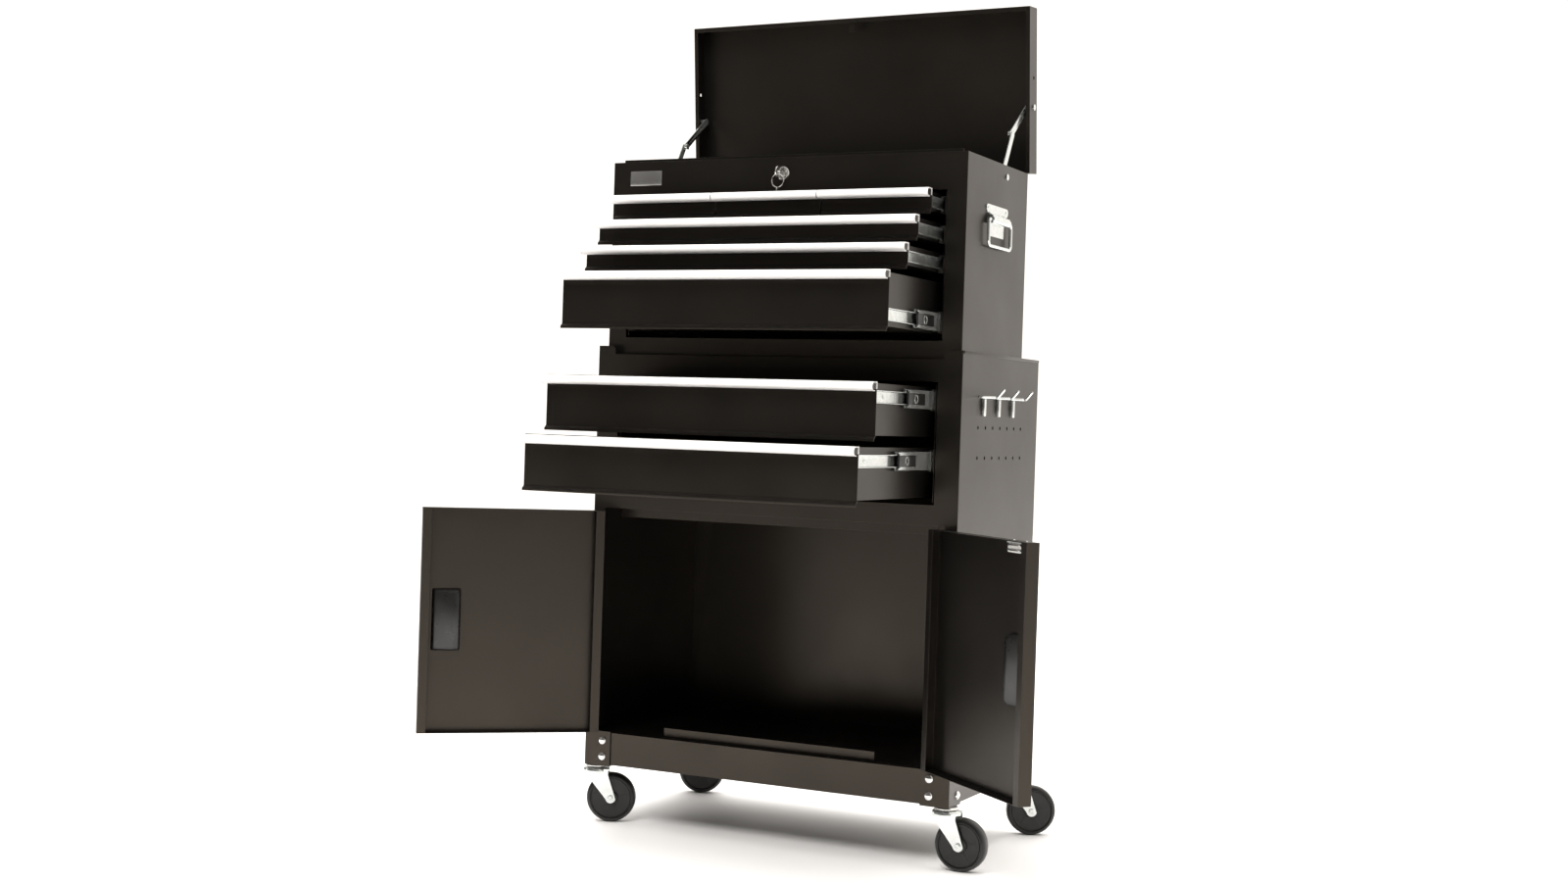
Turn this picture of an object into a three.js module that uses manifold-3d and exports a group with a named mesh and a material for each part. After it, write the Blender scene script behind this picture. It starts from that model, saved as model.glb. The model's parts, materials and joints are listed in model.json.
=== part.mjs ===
// Rolling tool chest: a lidded top chest with three small drawers, two shallow ones and a deep one stands
// on a cabinet with two drawers and a pair of doors, on four swivel casters. All of it is open.
// Millimetres, +Z up, +X to the right, the front faces -Y. While the pieces are built the floor is z = 0,
// the cabinet's front is y = 0 and its middle is x = 0. At the end the whole group is moved sideways so
// that the origin is the middle of the footprint, drawers and doors open as they stand.
import * as THREE from 'three';
import { mergeVertices } from 'three/addons/utils/BufferGeometryUtils.js';
import Module from 'manifold-3d';

const wasm = await Module();
wasm.setup();

// Sheet and general clearances
const SHEET = 1.2;
const FIT_GAP = 0.3;
const MOVE_GAP = 0.5;
const WELD = 0.3;
const GRID = 1024;
const RETURN_DEPTH = 12;
const RETURN_RELIEF = 8;

// Casters
const WHEEL_D = 78;
const WHEEL_W = 23;
const TREAD_SHOULDER = 5;
const RIM_R = 32;
const RIM_ROOT_R = 30;
const HUB_R = 11;
const HUB_W = 26;
const WEB_W = 12;
const RIB_COUNT = 5;
const RIB_T = 3;
const RIB_W = 20;
const AXLE_R = 4;
const AXLE_CLEAR = 0.6;
const AXLE_HEAD_R = 5;
const AXLE_HEAD_H = 3;
const CHEEK_T = 2.5;
const CHEEK_GAP = 1.5;
const CHEEK_TIP_R = 8;
const CHEEK_FRONT = 15;
const CHEEK_REAR = 20;
const CHEEK_BEND = 8;
const FORK_CLEAR = 6.5;
const FORK_PLATE_R = 22;
const FORK_PLATE_T = 2.5;
const KING_PIN_R = 5.5;
const RACE_GAP = 0.5;
const RACE_R = 18;
const RACE_H = 4.5;
const CASTER_TRAIL = 25;
const CASTER_TURN_DEG = 26;
const FRONT_RIGHT_TURN_DEG = 2;
const CASTER_INSET_X = 9;
const CASTER_INSET_Y = 17;

// Corner brackets
const BRACKET_T = 2;
const BRACKET_W = 44;
const BRACKET_UNDER_DOOR = 1;
const BOLT_R = 6.5;
const BOLT_H = 4;
const BOLT_TOP_R = 4;
const BOLT_IN = 30;
const BOLT_Z_LOW = 13;
const BOLT_PITCH = 25;

// Cabinet
const CAB_W = 616;
const CAB_D = 334;
const CAB_H = 662;
const CAB_TOP_RAIL = 46;
const CAB_MID_RAIL = 30;
const CAB_BASE_RAIL = 51;
const CAB_STILE = 38;
const TRAY_DEPTH = 13;
const TRAY_STILE = 30;
const TRAY_ROUND = 4;
const DOOR_STILE = 20;
const CAB_DRAWER_PITCH = 88.5;
const CAB_DRAWER_GAP = 6;
const CAB_BAY_H = 180;
const CAB_BAY_TOP = 6.3;
const STOP_SETBACK = 21;
const STOP_UP_H = 14;
const STOP_LOW_HALF = 180;
const STOP_UP_HALF = 270;
const BOTTOM_FLANGE = 20;

// Chest
const CHEST_W = 600;
const CHEST_D = 260;
const CHEST_H = 304;
const CHEST_SETBACK = 15;
const CHEST_BASE_RAIL = 27.5;
const CHEST_LOCK_RAIL = 55;
const CHEST_STILE = 31;
const CHEST_PITCH = 43.2;
const CHEST_DRAWER_GAP = 5;
const CHEST_BAY_TOP = 3.5;
const CHEST_BAY_LOW = 2.9;
const RAIL_LIP_H = 5.5;
const RAIL_LIP_IN = 12;
const TILL_RAISE = 2;
const TILL_FLANGE = 12;

// Drawers
const DRAWER_SHEET = 1.2;
const FACE_SIDE_GAP = 4;
const FACE_LIP_H = 7;
const FACE_LIP_OUT = 4.5;
const BOX_RAISE = 8;
const BOX_DROP = 2;
const CHEST_BACK_ROOM = 24;
const CAB_BACK_ROOM = 34;
const SMALL_GAP = 2;
const SMALL_TRIM_OVER = 0.25;

// Drawer trims
const TRIM_H = 13;
const TRIM_D = 18;
const TRIM_T = 1.6;
const TRIM_OVER = 1;
const TRIM_DROP = 1;
const TRIM_BACK_H = 10;
const TRIM_ROUND = 3.5;

// Slides
const SLIDE_W = 12.5;
const SLIDE_T = 1.2;
const LINER_INSET = 3;
const LINER_MARGIN = 4;
const OUTER_DEPTH = 8;
const MID_OFFSET = 2.4;
const MID_DEPTH = 7.6;
const INNER_HALF = 9;
const INNER_DEPTH = 7;
const SHORT_INNER_HALF = 8;
const SHORT_DEPTH = 9;
const BALLS_IN_H = 3.3;
const BALLS_OUT_H = 1.3;
const BALLS_W = 3.5;
const SLIDE_PLAY = 0.3;
const SLIDE_START = 4;
const MID_START = 12;
const CAB_SLIDE_BACK_ROOM = 30;
const CAB_SLIDE_DROP = 21;
const SHALLOW_SLIDE_DROP = 19;
const DEEP_SLIDE_DROP = 61.5;

// How far each row is pulled out
const PULL_ROW_1 = 48.9;
const PULL_ROW_2 = 95.1;
const PULL_ROW_3 = 129.6;
const PULL_ROW_4 = 192.6;
const PULL_CAB_1 = 210.6;
const PULL_CAB_2 = 264.2;
const MID_TRAVEL_SHARE = 0.5;

// Doors
const DOOR_OPEN_DEG = 139.2;
const DOOR_T = 20;
const DOOR_AXIS_OUT = 4;
const DOOR_AXIS_IN = 1;
const DOOR_EDGE = 2;
const DOOR_W = 282;
const DOOR_GAP_LOW = 3;
const DOOR_GAP_TOP = 4;
const DOOR_LIP = 14;
const KNUCKLE_R = 3.5;
const KNUCKLE_L = 20;
const KNUCKLE_GAP = 0.5;
const HINGE_LEAF_W = 14;
const HINGE_LEAF_T = 1.4;
const HINGE_FROM_END = 60;
const PULL_W = 42;
const PULL_H = 94;
const PULL_RIM = 5;
const PULL_RIM_T = 1.5;
const PULL_DEPTH = 14;
const PULL_WALL = 1.6;
const PULL_FROM_EDGE = 20;
const CATCH_W = 46;
const CATCH_H = 15;
const CATCH_D = 14;
const CATCH_FROM_EDGE = 15;
const CATCH_POLE_W = 34;
const CATCH_POLE_T = 2.5;
const CATCH_POLE_OUT = 3;

// Lid, its hinge and its stays
const LID_OPEN_DEG = 84.7;
const LID_H = 33.5;
const LID_GAP = 0.5;
const LID_HEM = 5.5;
const HINGE_R = 4;
const HINGE_PIN_R = 1.6;
const HINGE_BORE_R = 2;
const HINGE_DROP = 3;
const HINGE_LEAF_H = 18;
const HINGE_END_IN = 15;
const HINGE_SPANS = 5;
const TAB_W = 11;
const TAB_L = 20;
const TAB_RAISE = 7;
const LID_HOLE_R = 3;
const LID_HOLE_ALONG = 150;
const STAY_T = 1.8;
const STAY_HALF_W = 5.5;
const STAY_X_IN = 7.6;
const STAY_STEP = 2.8;
const STAY_LOW_L = 84;
const STAY_UP_L = 86.5;
const STAY_CHEST_BACK = 95;
const STAY_CHEST_DROP = 17.6;
const STAY_LID_BACK = 104;
const STAY_LID_RAISE = 19;
const STAY_BOSS_R = 4.5;
const STAY_PIN_R = 2.7;
const STAY_HOLE_R = 3.2;
const STAY_HEAD_R = 5;
const STAY_HEAD_T = 1.6;
const STAY_KNOB_R = 5;
const STAY_KNOB_T = 3;

// Lock and keys
const LOCK_RAISE = 30;
const LOCK_BEZEL_R = 11;
const LOCK_BEZEL_T = 2.7;
const LOCK_BODY_R = 9.2;
const LOCK_HOLE_R = 9.5;
const CAM_T = 2;
const CAM_W = 12;
const CAM_NECK_W = 5;
const CAM_NECK_L = 11;
const CAM_OVER_TAB = 1.3;
const CAM_FINGER = 14;
const CAM_FINGER_W = 4;
const CAM_BEHIND = 2;
const KEY_STEM_L = 15;
const KEY_STEM_W = 7;
const KEY_T = 2;
const KEY_BOW_R = 9;
const KEY_BOW_HOLE_R = 4;
const RING_R = 10;
const RING_WIRE_R = 0.9;
const RING_PLAY = 0.2;
const SPARE_BOW_R = 4;
const SPARE_BLADE_W = 4;
const SPARE_ABOVE_DRAWER = 1;

// Side handles
const HANDLE_FORWARD = 5;
const PLATE_W = 92;
const PLATE_H = 47;
const PLATE_T = 1.6;
const PLATE_TOP_DROP = 67;
const PLATE_CORNER = 5;
const LOBE_H = 13;
const NECK_HALF_W = 34;
const FOOT_HALF_W = 29.5;
const SADDLE_HALF_W = 37;
const SADDLE_UP = 12;
const SADDLE_LOW = 5.5;
const SADDLE_OUT = 11;
const BAIL_R = 2.6;
const BAIL_AXIS_OUT = 6.3;
const BAIL_AXIS_DROP = 23;
const BAIL_HALF_W = 47.5;
const BAIL_END_Y = 20;
const BAIL_L = 39.5;
const BAIL_BEND = 7;
const BAIL_CLEAR = 0.5;
const RIVET_R = 3.5;
const RIVET_H = 1.2;
const RIVET_IN_Y = 38;
const RIVET_IN_Z = 6.5;

// Hook board in the right side, and its hooks
const PEG_COLUMNS = 7;
const PEG_ROWS = 3;
const PEG_PITCH_Y = 31.2;
const PEG_PITCH_Z = 45.1;
const PEG_FIRST_Y = 70.5;
const PEG_TOP_DROP = 65.6;
const PEG_HOLE_R = 2.7;
const HOOK_R = 1.9;
const HOOK_IN = 4;
const HOOK_STRAIGHT = 6;
const HOOK_FRONT_OUT = 20;
const HOOK_FRONT_HALF = 3.5;
const HOOK_BASE_BEND = 3;
const HOOK_BEND_OUT = 24;
const HOOK_TIP_OUT = 34;
const HOOK_TIP_RISE = 12;
const HOOK_BEND = 4;
const HOOK_LEG_W = 7.5;
const HOOK_LEG_T = 5;
const HOOK_LEG_H = 28;
const HOOK_STEP = 2;
const HOOK_COUNT = 3;

// Facets of round pieces
const WHEEL_SIDES = 26;
const DISC_SIDES = 20;
const BOLT_SIDES = 10;
const ROD_SIDES = 8;
const HOLE_SIDES = 10;
const TIP_SIDES = 6;
const BEND_SIDES = 4;

// Heights and edges worked out from the sizes above
const AXLE_Z = WHEEL_D / 2;
const FORK_TOP_Z = WHEEL_D + FORK_CLEAR;
const RACE_LOW_Z = FORK_TOP_Z + FORK_PLATE_T + RACE_GAP;
const BRACKET_Z = RACE_LOW_Z + RACE_H;
const CAB_Z0 = BRACKET_Z + BRACKET_T;
const CAB_Z1 = CAB_Z0 + CAB_H;
const CAB_X = CAB_W / 2;
const CAB_BAY_Z1 = CAB_Z1 - CAB_TOP_RAIL;
const CAB_BAY_Z0 = CAB_BAY_Z1 - CAB_BAY_H;
const ROOM_Z1 = CAB_BAY_Z0 - CAB_MID_RAIL;
const ROOM_Z0 = CAB_Z0 + CAB_BASE_RAIL;
const CAB_BAY_X = CAB_X - CAB_STILE;
const ROOM_X = CAB_X - DOOR_STILE;
const CHEST_X = CHEST_W / 2;
const CHEST_Y0 = CHEST_SETBACK;
const CHEST_Y1 = CHEST_Y0 + CHEST_D;
const CHEST_BOX_D = CHEST_D - CHEST_BACK_ROOM;
const CAB_BOX_D = CAB_D - CAB_BACK_ROOM;
const CHEST_SLIDE_L = CHEST_D - SLIDE_START - CHEST_BACK_ROOM;
const CAB_SLIDE_L = CAB_D - SLIDE_START - CAB_SLIDE_BACK_ROOM;
const TRAY_Z = CAB_Z1 - TRAY_DEPTH;
const CHEST_Z0 = TRAY_Z;
const CHEST_Z1 = CHEST_Z0 + CHEST_H;
const CHEST_BAY_X = CHEST_X - CHEST_STILE;
const CHEST_BAY_Z0 = CHEST_Z0 + CHEST_BASE_RAIL;
const CHEST_BAY_Z1 = CHEST_Z1 - CHEST_LOCK_RAIL;
const TILL_Z = CHEST_BAY_Z1 + TILL_RAISE;
const HINGE_Y = CHEST_Y1 + HINGE_R + FIT_GAP;
const HINGE_Z = CHEST_Z1 - HINGE_DROP;
const LID_Z0 = CHEST_Z1 + LID_GAP;
const LID_Z1 = LID_Z0 + LID_H;
const LOCK_Z = CHEST_BAY_Z1 + LOCK_RAISE;
const TAB_Z = LID_Z0 + TAB_RAISE;
const TAB_X = -(CAM_NECK_W / 2 + MOVE_GAP + TAB_W / 2);
const CAM_L = TAB_Z + SHEET + CAM_OVER_TAB + CAM_FINGER_W - LOCK_Z;
const MID_HALF = INNER_HALF + BALLS_IN_H + SLIDE_T;
const OUTER_HALF = MID_HALF + BALLS_OUT_H + SLIDE_T;
const SHORT_OUTER_HALF = SHORT_INNER_HALF + BALLS_IN_H + SLIDE_T;

// Finishes, one plain colour each; the look is given elsewhere
function finish(color, metalness, roughness) {
  return new THREE.MeshStandardMaterial({ color, metalness, roughness });
}
const BLACK_PAINT = finish(0x17181a, 0.1, 0.35);
const ZINC = finish(0xb9bcc0, 0.9, 0.35);
const TRIM_METAL = finish(0xd9dbdd, 0.7, 0.3);
const CHROME = finish(0xd6d8da, 1.0, 0.15);
const BLACK_PLASTIC = finish(0x1c1d1f, 0.0, 0.5);
const WHITE_PLASTIC = finish(0xe4e4e0, 0.0, 0.5);
const RUBBER = finish(0x101112, 0.0, 0.6);

// A closed solid from any closed geometry. Its corners go to a fine grid, so that faces meant to lie in
// one plane really do.
function solidOf(geometry) {
  const bare = new THREE.BufferGeometry();
  const onGrid = geometry.getAttribute('position').array.map((v) => Math.round(v * GRID) / GRID);
  bare.setAttribute('position', new THREE.BufferAttribute(onGrid, 3));
  if (geometry.index) bare.setIndex(geometry.index.clone());
  const merged = mergeVertices(bare, 1 / (2 * GRID));
  const index = merged.index.array;
  const keep = [];
  for (let i = 0; i < index.length; i += 3) {
    const [a, b, c] = [index[i], index[i + 1], index[i + 2]];
    if (a !== b && b !== c && c !== a) keep.push(a, b, c);
  }
  const mesh = new wasm.Mesh({
    numProp: 3,
    vertProperties: new Float32Array(merged.getAttribute('position').array),
    triVerts: new Uint32Array(keep),
  });
  return new wasm.Manifold(mesh);
}

function fuse(...geometries) {
  return geometries.map(solidOf).reduce((whole, next) => whole.add(next));
}

function cut(whole, ...geometries) {
  return geometries.map(solidOf).reduce((rest, next) => rest.subtract(next), whole);
}

function piece(name, solid, material) {
  const { vertProperties, triVerts } = solid.asOriginal().simplify().getMesh();
  const geometry = new THREE.BufferGeometry();
  geometry.setAttribute('position', new THREE.BufferAttribute(new Float32Array(vertProperties), 3));
  geometry.setIndex(new THREE.BufferAttribute(new Uint32Array(triVerts), 1));
  geometry.computeVertexNormals();
  const mesh = new THREE.Mesh(geometry, material);
  mesh.name = name;
  return mesh;
}

// A box between two corners given as ranges, in either order
function slab(xa, xb, ya, yb, za, zb) {
  const box = new THREE.BoxGeometry(Math.abs(xb - xa), Math.abs(yb - ya), Math.abs(zb - za));
  return box.translate((xa + xb) / 2, (ya + yb) / 2, (za + zb) / 2);
}

// A cylinder along an axis from one height to another
function rodZ(x, y, z0, z1, r, sides) {
  const rod = new THREE.CylinderGeometry(r, r, z1 - z0, sides).rotateX(Math.PI / 2);
  return rod.translate(x, y, (z0 + z1) / 2);
}

function rodY(x, z, y0, y1, r, sides) {
  return new THREE.CylinderGeometry(r, r, y1 - y0, sides).translate(x, (y0 + y1) / 2, z);
}

function rodX(y, z, xa, xb, r, sides) {
  const rod = new THREE.CylinderGeometry(r, r, Math.abs(xb - xa), sides).rotateZ(Math.PI / 2);
  return rod.translate((xa + xb) / 2, y, z);
}

function shapeOf(points) {
  return new THREE.Shape(points.map(([a, b]) => new THREE.Vector2(a, b)));
}

function rectangle(a0, a1, b0, b1) {
  return shapeOf([[a0, b0], [a1, b0], [a1, b1], [a0, b1]]);
}

function prism(shape, depth) {
  return new THREE.ExtrudeGeometry(shape, { depth, bevelEnabled: false, curveSegments: HOLE_SIDES });
}

// A (y, z) outline pushed along X, and an (x, z) outline pushed along Y
function alongX(shape, xa, xb) {
  const basis = new THREE.Matrix4().makeBasis(
    new THREE.Vector3(0, 1, 0), new THREE.Vector3(0, 0, 1), new THREE.Vector3(1, 0, 0));
  return prism(shape, Math.abs(xb - xa)).applyMatrix4(basis).translate(Math.min(xa, xb), 0, 0);
}

function alongY(shape, y0, y1) {
  return prism(shape, y1 - y0).rotateX(Math.PI / 2).translate(0, y1, 0);
}

function roundHole(a, b, r, sides = HOLE_SIDES) {
  const ring = [];
  for (let i = 0; i < sides; i += 1) {
    const turn = (2 * Math.PI * i) / sides;
    ring.push(new THREE.Vector2(a + r * Math.cos(turn), b + r * Math.sin(turn)));
  }
  return new THREE.Path(ring);
}

// Knots of a path that lies in one plane, with frames that stay in that plane
class PlanePath extends THREE.Curve {
  constructor(knots, across) {
    super();
    this.knots = knots;
    this.across = across;
  }

  getSpacedPoints() {
    return this.knots;
  }

  computeFrenetFrames() {
    const last = this.knots.length - 1;
    const tangents = this.knots.map((knot, i) => {
      const before = this.knots[Math.max(i - 1, 0)];
      const after = this.knots[Math.min(i + 1, last)];
      return after.clone().sub(knot).normalize().add(knot.clone().sub(before).normalize()).normalize();
    });
    const normals = tangents.map(() => this.across.clone());
    const binormals = tangents.map((tangent) => tangent.clone().cross(this.across));
    return { tangents, normals, binormals };
  }
}

// A round wire that follows straight runs with rounded bends, all in the plane across the given direction
function wire(corners, r, bend, across) {
  const knots = [corners[0]];
  for (let i = 1; i < corners.length - 1; i += 1) {
    const into = corners[i - 1].clone().sub(corners[i]).normalize();
    const out = corners[i + 1].clone().sub(corners[i]).normalize();
    const start = corners[i].clone().addScaledVector(into, bend);
    const end = corners[i].clone().addScaledVector(out, bend);
    knots.push(...new THREE.QuadraticBezierCurve3(start, corners[i], end).getPoints(BEND_SIDES));
  }
  knots.push(corners[corners.length - 1]);
  const round = new THREE.Shape(roundHole(0, 0, r, ROD_SIDES).getPoints());
  return new THREE.ExtrudeGeometry(round, {
    steps: knots.length - 1, bevelEnabled: false, extrudePath: new PlanePath(knots, across),
  });
}

const at = (x, y, z) => new THREE.Vector3(x, y, z);
const ACROSS_X = at(1, 0, 0);
const ACROSS_Y = at(0, 1, 0);
const ACROSS_Z = at(0, 0, 1);
const SIDES = [['left', -1], ['right', 1]];

const root = new THREE.Group();
root.name = 'rolling_tool_chest';

function addPiece(name, solid, material, parent = root) {
  parent.add(piece(name, solid, material));
}

// Casters: a wheel, a fork that trails towards +X and is turned a little, and a bracket with the swivel
// race under each corner
function wheelSolid(x, y, turned) {
  const bore = AXLE_R + AXLE_CLEAR;
  const hub = HUB_W / 2;
  const web = WEB_W / 2;
  const rim = WHEEL_W / 2;
  const tread = WHEEL_D / 2;
  const half = [[bore, hub], [HUB_R, hub], [HUB_R, web], [RIM_ROOT_R, web], [RIM_R, rim],
    [tread - TREAD_SHOULDER / 2, rim], [tread, rim - TREAD_SHOULDER]];
  const outline = [...half.map(([r, w]) => [r, -w]), ...half.reverse(), [bore, -hub]];
  const tyre = new THREE.LatheGeometry(outline.map(([r, w]) => new THREE.Vector2(r, w)), WHEEL_SIDES);
  const rib = (i) => slab(HUB_R - WELD, RIM_R - WELD, -RIB_W / 2, RIB_W / 2, -RIB_T / 2, RIB_T / 2)
    .rotateY((2 * Math.PI * i) / RIB_COUNT);
  const ribs = Array.from({ length: RIB_COUNT }, (_, i) => rib(i));
  return fuse(tyre, ...ribs).translate([CASTER_TRAIL, 0, AXLE_Z]).rotate([0, 0, turned])
    .translate([x, y, 0]);
}

function cheekShape() {
  const tip = Array.from({ length: TIP_SIDES + 1 }, (_, i) => {
    const turn = -Math.PI + (Math.PI * i) / TIP_SIDES;
    return [CASTER_TRAIL + CHEEK_TIP_R * Math.cos(turn), AXLE_Z + CHEEK_TIP_R * Math.sin(turn)];
  });
  const top = FORK_TOP_Z + WELD;
  return shapeOf([[-CHEEK_FRONT, top], [-CHEEK_FRONT, FORK_TOP_Z - CHEEK_BEND], ...tip,
    [CHEEK_REAR, FORK_TOP_Z - CHEEK_BEND], [CHEEK_REAR, top]]);
}

function forkSolid(x, y, turned) {
  const inner = HUB_W / 2 + CHEEK_GAP;
  const outer = inner + CHEEK_T;
  const cheeks = [-1, 1].map((side) => alongY(cheekShape(),
    side < 0 ? -outer : inner, side < 0 ? -inner : outer));
  const plate = rodZ(0, 0, FORK_TOP_Z, FORK_TOP_Z + FORK_PLATE_T, FORK_PLATE_R, DISC_SIDES);
  const pin = rodZ(0, 0, FORK_TOP_Z, BRACKET_Z - FIT_GAP, KING_PIN_R, HOLE_SIDES);
  const axle = rodY(CASTER_TRAIL, AXLE_Z, -outer, outer, AXLE_R, HOLE_SIDES);
  const heads = [-1, 1].map((side) => rodY(CASTER_TRAIL, AXLE_Z,
    side < 0 ? -outer - AXLE_HEAD_H : outer - WELD, side < 0 ? -outer + WELD : outer + AXLE_HEAD_H,
    AXLE_HEAD_R, HOLE_SIDES));
  return fuse(plate, pin, axle, ...cheeks, ...heads).rotate([0, 0, turned]).translate([x, y, 0]);
}

function boltHead(turned) {
  const outline = [[0, -WELD], [BOLT_R, -WELD], [BOLT_R, BOLT_H / 2], [BOLT_TOP_R, BOLT_H], [0, BOLT_H]];
  const head = new THREE.LatheGeometry(outline.map(([r, h]) => new THREE.Vector2(r, h)), BOLT_SIDES);
  return head.rotateZ(turned);
}

// Built for the corner at (0, 0) whose bracket runs towards +X and +Y, then turned to its place by signs
function bracketSolid(sx, sy) {
  const x = sx * CAB_X;
  const y = sy < 0 ? 0 : CAB_D;
  const top = ROOM_Z0 + DOOR_GAP_LOW - BRACKET_UNDER_DOOR;
  const face = slab(x + sx * BRACKET_T, x - sx * BRACKET_W, y, y + sy * BRACKET_T, BRACKET_Z, top);
  const side = slab(x, x + sx * BRACKET_T, y + sy * BRACKET_T, y - sy * BRACKET_W, BRACKET_Z, top);
  const foot = slab(x + sx * BRACKET_T, x - sx * BRACKET_W, y + sy * BRACKET_T, y - sy * BRACKET_W,
    BRACKET_Z, CAB_Z0);
  const [stemX, stemY] = [x - sx * CASTER_INSET_X, y - sy * CASTER_INSET_Y];
  const race = rodZ(stemX, stemY, RACE_LOW_Z, BRACKET_Z + WELD, RACE_R, DISC_SIDES);
  const bolts = [0, 1].flatMap((row) => {
    const z = CAB_Z0 + BOLT_Z_LOW + row * BOLT_PITCH;
    return [
      boltHead(sy < 0 ? Math.PI : 0).translate(x - sx * BOLT_IN, y + sy * BRACKET_T, z),
      boltHead(-sx * Math.PI / 2).translate(x + sx * BRACKET_T, y - sy * BOLT_IN, z),
    ];
  });
  const bore = rodZ(stemX, stemY, RACE_LOW_Z - WELD, BRACKET_Z, KING_PIN_R + MOVE_GAP, HOLE_SIDES);
  return cut(fuse(face, side, foot, race, ...bolts), bore);
}

for (const [end, sy] of [['front', -1], ['rear', 1]]) {
  for (const [side, sx] of SIDES) {
    const x = sx * (CAB_X - CASTER_INSET_X);
    const y = sy < 0 ? CASTER_INSET_Y : CAB_D - CASTER_INSET_Y;
    addPiece(`bracket_${end}_${side}`, bracketSolid(sx, sy), BLACK_PAINT);
    const turned = sx > 0 && sy < 0 ? FRONT_RIGHT_TURN_DEG : CASTER_TURN_DEG;
    addPiece(`fork_${end}_${side}`, forkSolid(x, y, turned), ZINC);
    addPiece(`wheel_${end}_${side}`, wheelSolid(x, y, turned), RUBBER);
  }
}

// Slide channels. The outer ones stand on a wall, the middle ones ride in them, the inner ones stand on a
// drawer. Wall is the wall's x, dir points from it to the drawer. A channel that carries another one has
// its two rows of balls as strips inside its lips, and rider is half the height of the one it carries.
function channel(wall, dir, half, depth, y0, y1, z, rider) {
  const web = slab(wall, wall + dir * SLIDE_T, y0, y1, z - half, z + half);
  const lips = [-1, 1].map((up) => slab(wall, wall + dir * depth, y0, y1,
    z + up * half, z + up * (half - SLIDE_T)));
  const balls = rider ? ballRows(wall + dir * depth, dir, half, y0, y1, z, rider) : [];
  return [web, ...lips, ...balls];
}

function ballRows(tip, dir, half, y0, y1, z, rider) {
  return [-1, 1].map((up) => slab(tip, tip - dir * BALLS_W, y0, y1,
    z + up * (half - SLIDE_T + WELD), z + up * (rider + SLIDE_PLAY)));
}

// Chest body
function chestRows() {
  const top = CHEST_BAY_Z1 - CHEST_BAY_TOP;
  const shallow = [0, 1, 2].map((row) => {
    const z1 = top - row * CHEST_PITCH;
    return { z0: z1 - CHEST_PITCH + CHEST_DRAWER_GAP, z1, slide: z1 - SHALLOW_SLIDE_DROP };
  });
  const z1 = top - shallow.length * CHEST_PITCH;
  return [...shallow, { z0: CHEST_BAY_Z0 + CHEST_BAY_LOW, z1, slide: z1 - DEEP_SLIDE_DROP }];
}

function cabinetRows() {
  return [0, 1].map((row) => {
    const z1 = CAB_BAY_Z1 - CAB_BAY_TOP - row * CAB_DRAWER_PITCH;
    return { z0: z1 - CAB_DRAWER_PITCH + CAB_DRAWER_GAP, z1, slide: z1 - CAB_SLIDE_DROP };
  });
}

const CHEST_WALL_X = CHEST_BAY_X - LINER_INSET;
const CAB_WALL_X = CAB_BAY_X - LINER_INSET - SHEET;
const [ROW_1, ROW_2, ROW_3, ROW_4] = chestRows();
const [CAB_ROW_1, CAB_ROW_2] = cabinetRows();
const CHEST_SLIDE_Y = CHEST_Y0 + SLIDE_START;
const CAB_SLIDE_Y = SLIDE_START;

function linerWith(wall, side, y0, y1, z0, z1, channels) {
  return [slab(side * wall, side * (wall + SHEET), y0, y1, z0, z1), ...channels.flat()];
}

function chestShellSolid() {
  const [y0, y1] = [CHEST_Y0 + SHEET, CHEST_Y1];
  const walls = [-1, 1].map((side) => slab(side * CHEST_X, side * (CHEST_X - SHEET), y0, y1,
    CHEST_Z0, CHEST_Z1));
  const back = slab(-CHEST_X, CHEST_X, y1 - SHEET, y1, CHEST_Z0, CHEST_Z1);
  const base = slab(-CHEST_X, CHEST_X, y0, y1, CHEST_Z0, CHEST_Z0 + SHEET);
  const end = CHEST_SLIDE_Y + CHEST_SLIDE_L;
  const short = (side, row) => channel(side * CHEST_WALL_X, -side, SHORT_OUTER_HALF, SHORT_DEPTH,
    CHEST_SLIDE_Y, end, row.slide, SHORT_INNER_HALF);
  const long = (side, row) => channel(side * CHEST_WALL_X, -side, OUTER_HALF, OUTER_DEPTH,
    CHEST_SLIDE_Y, end, row.slide, MID_HALF);
  const liners = [-1, 1].map((side) => linerWith(CHEST_WALL_X, side, CHEST_SLIDE_Y, y1 - SHEET + WELD,
    CHEST_BAY_Z0 + LINER_MARGIN, CHEST_BAY_Z1 - LINER_MARGIN / 2,
    [short(side, ROW_1), short(side, ROW_2), short(side, ROW_3), long(side, ROW_4)]));
  const pins = SIDES.map(([, side]) => rodX(CHEST_Y1 - STAY_CHEST_BACK, CHEST_Z1 - STAY_CHEST_DROP,
    side * (CHEST_X - 2 * SHEET), side * (CHEST_X + SHEET), STAY_HOLE_R, HOLE_SIDES));
  return cut(fuse(...walls, back, base, ...liners.flat()), ...pins);
}

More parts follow.
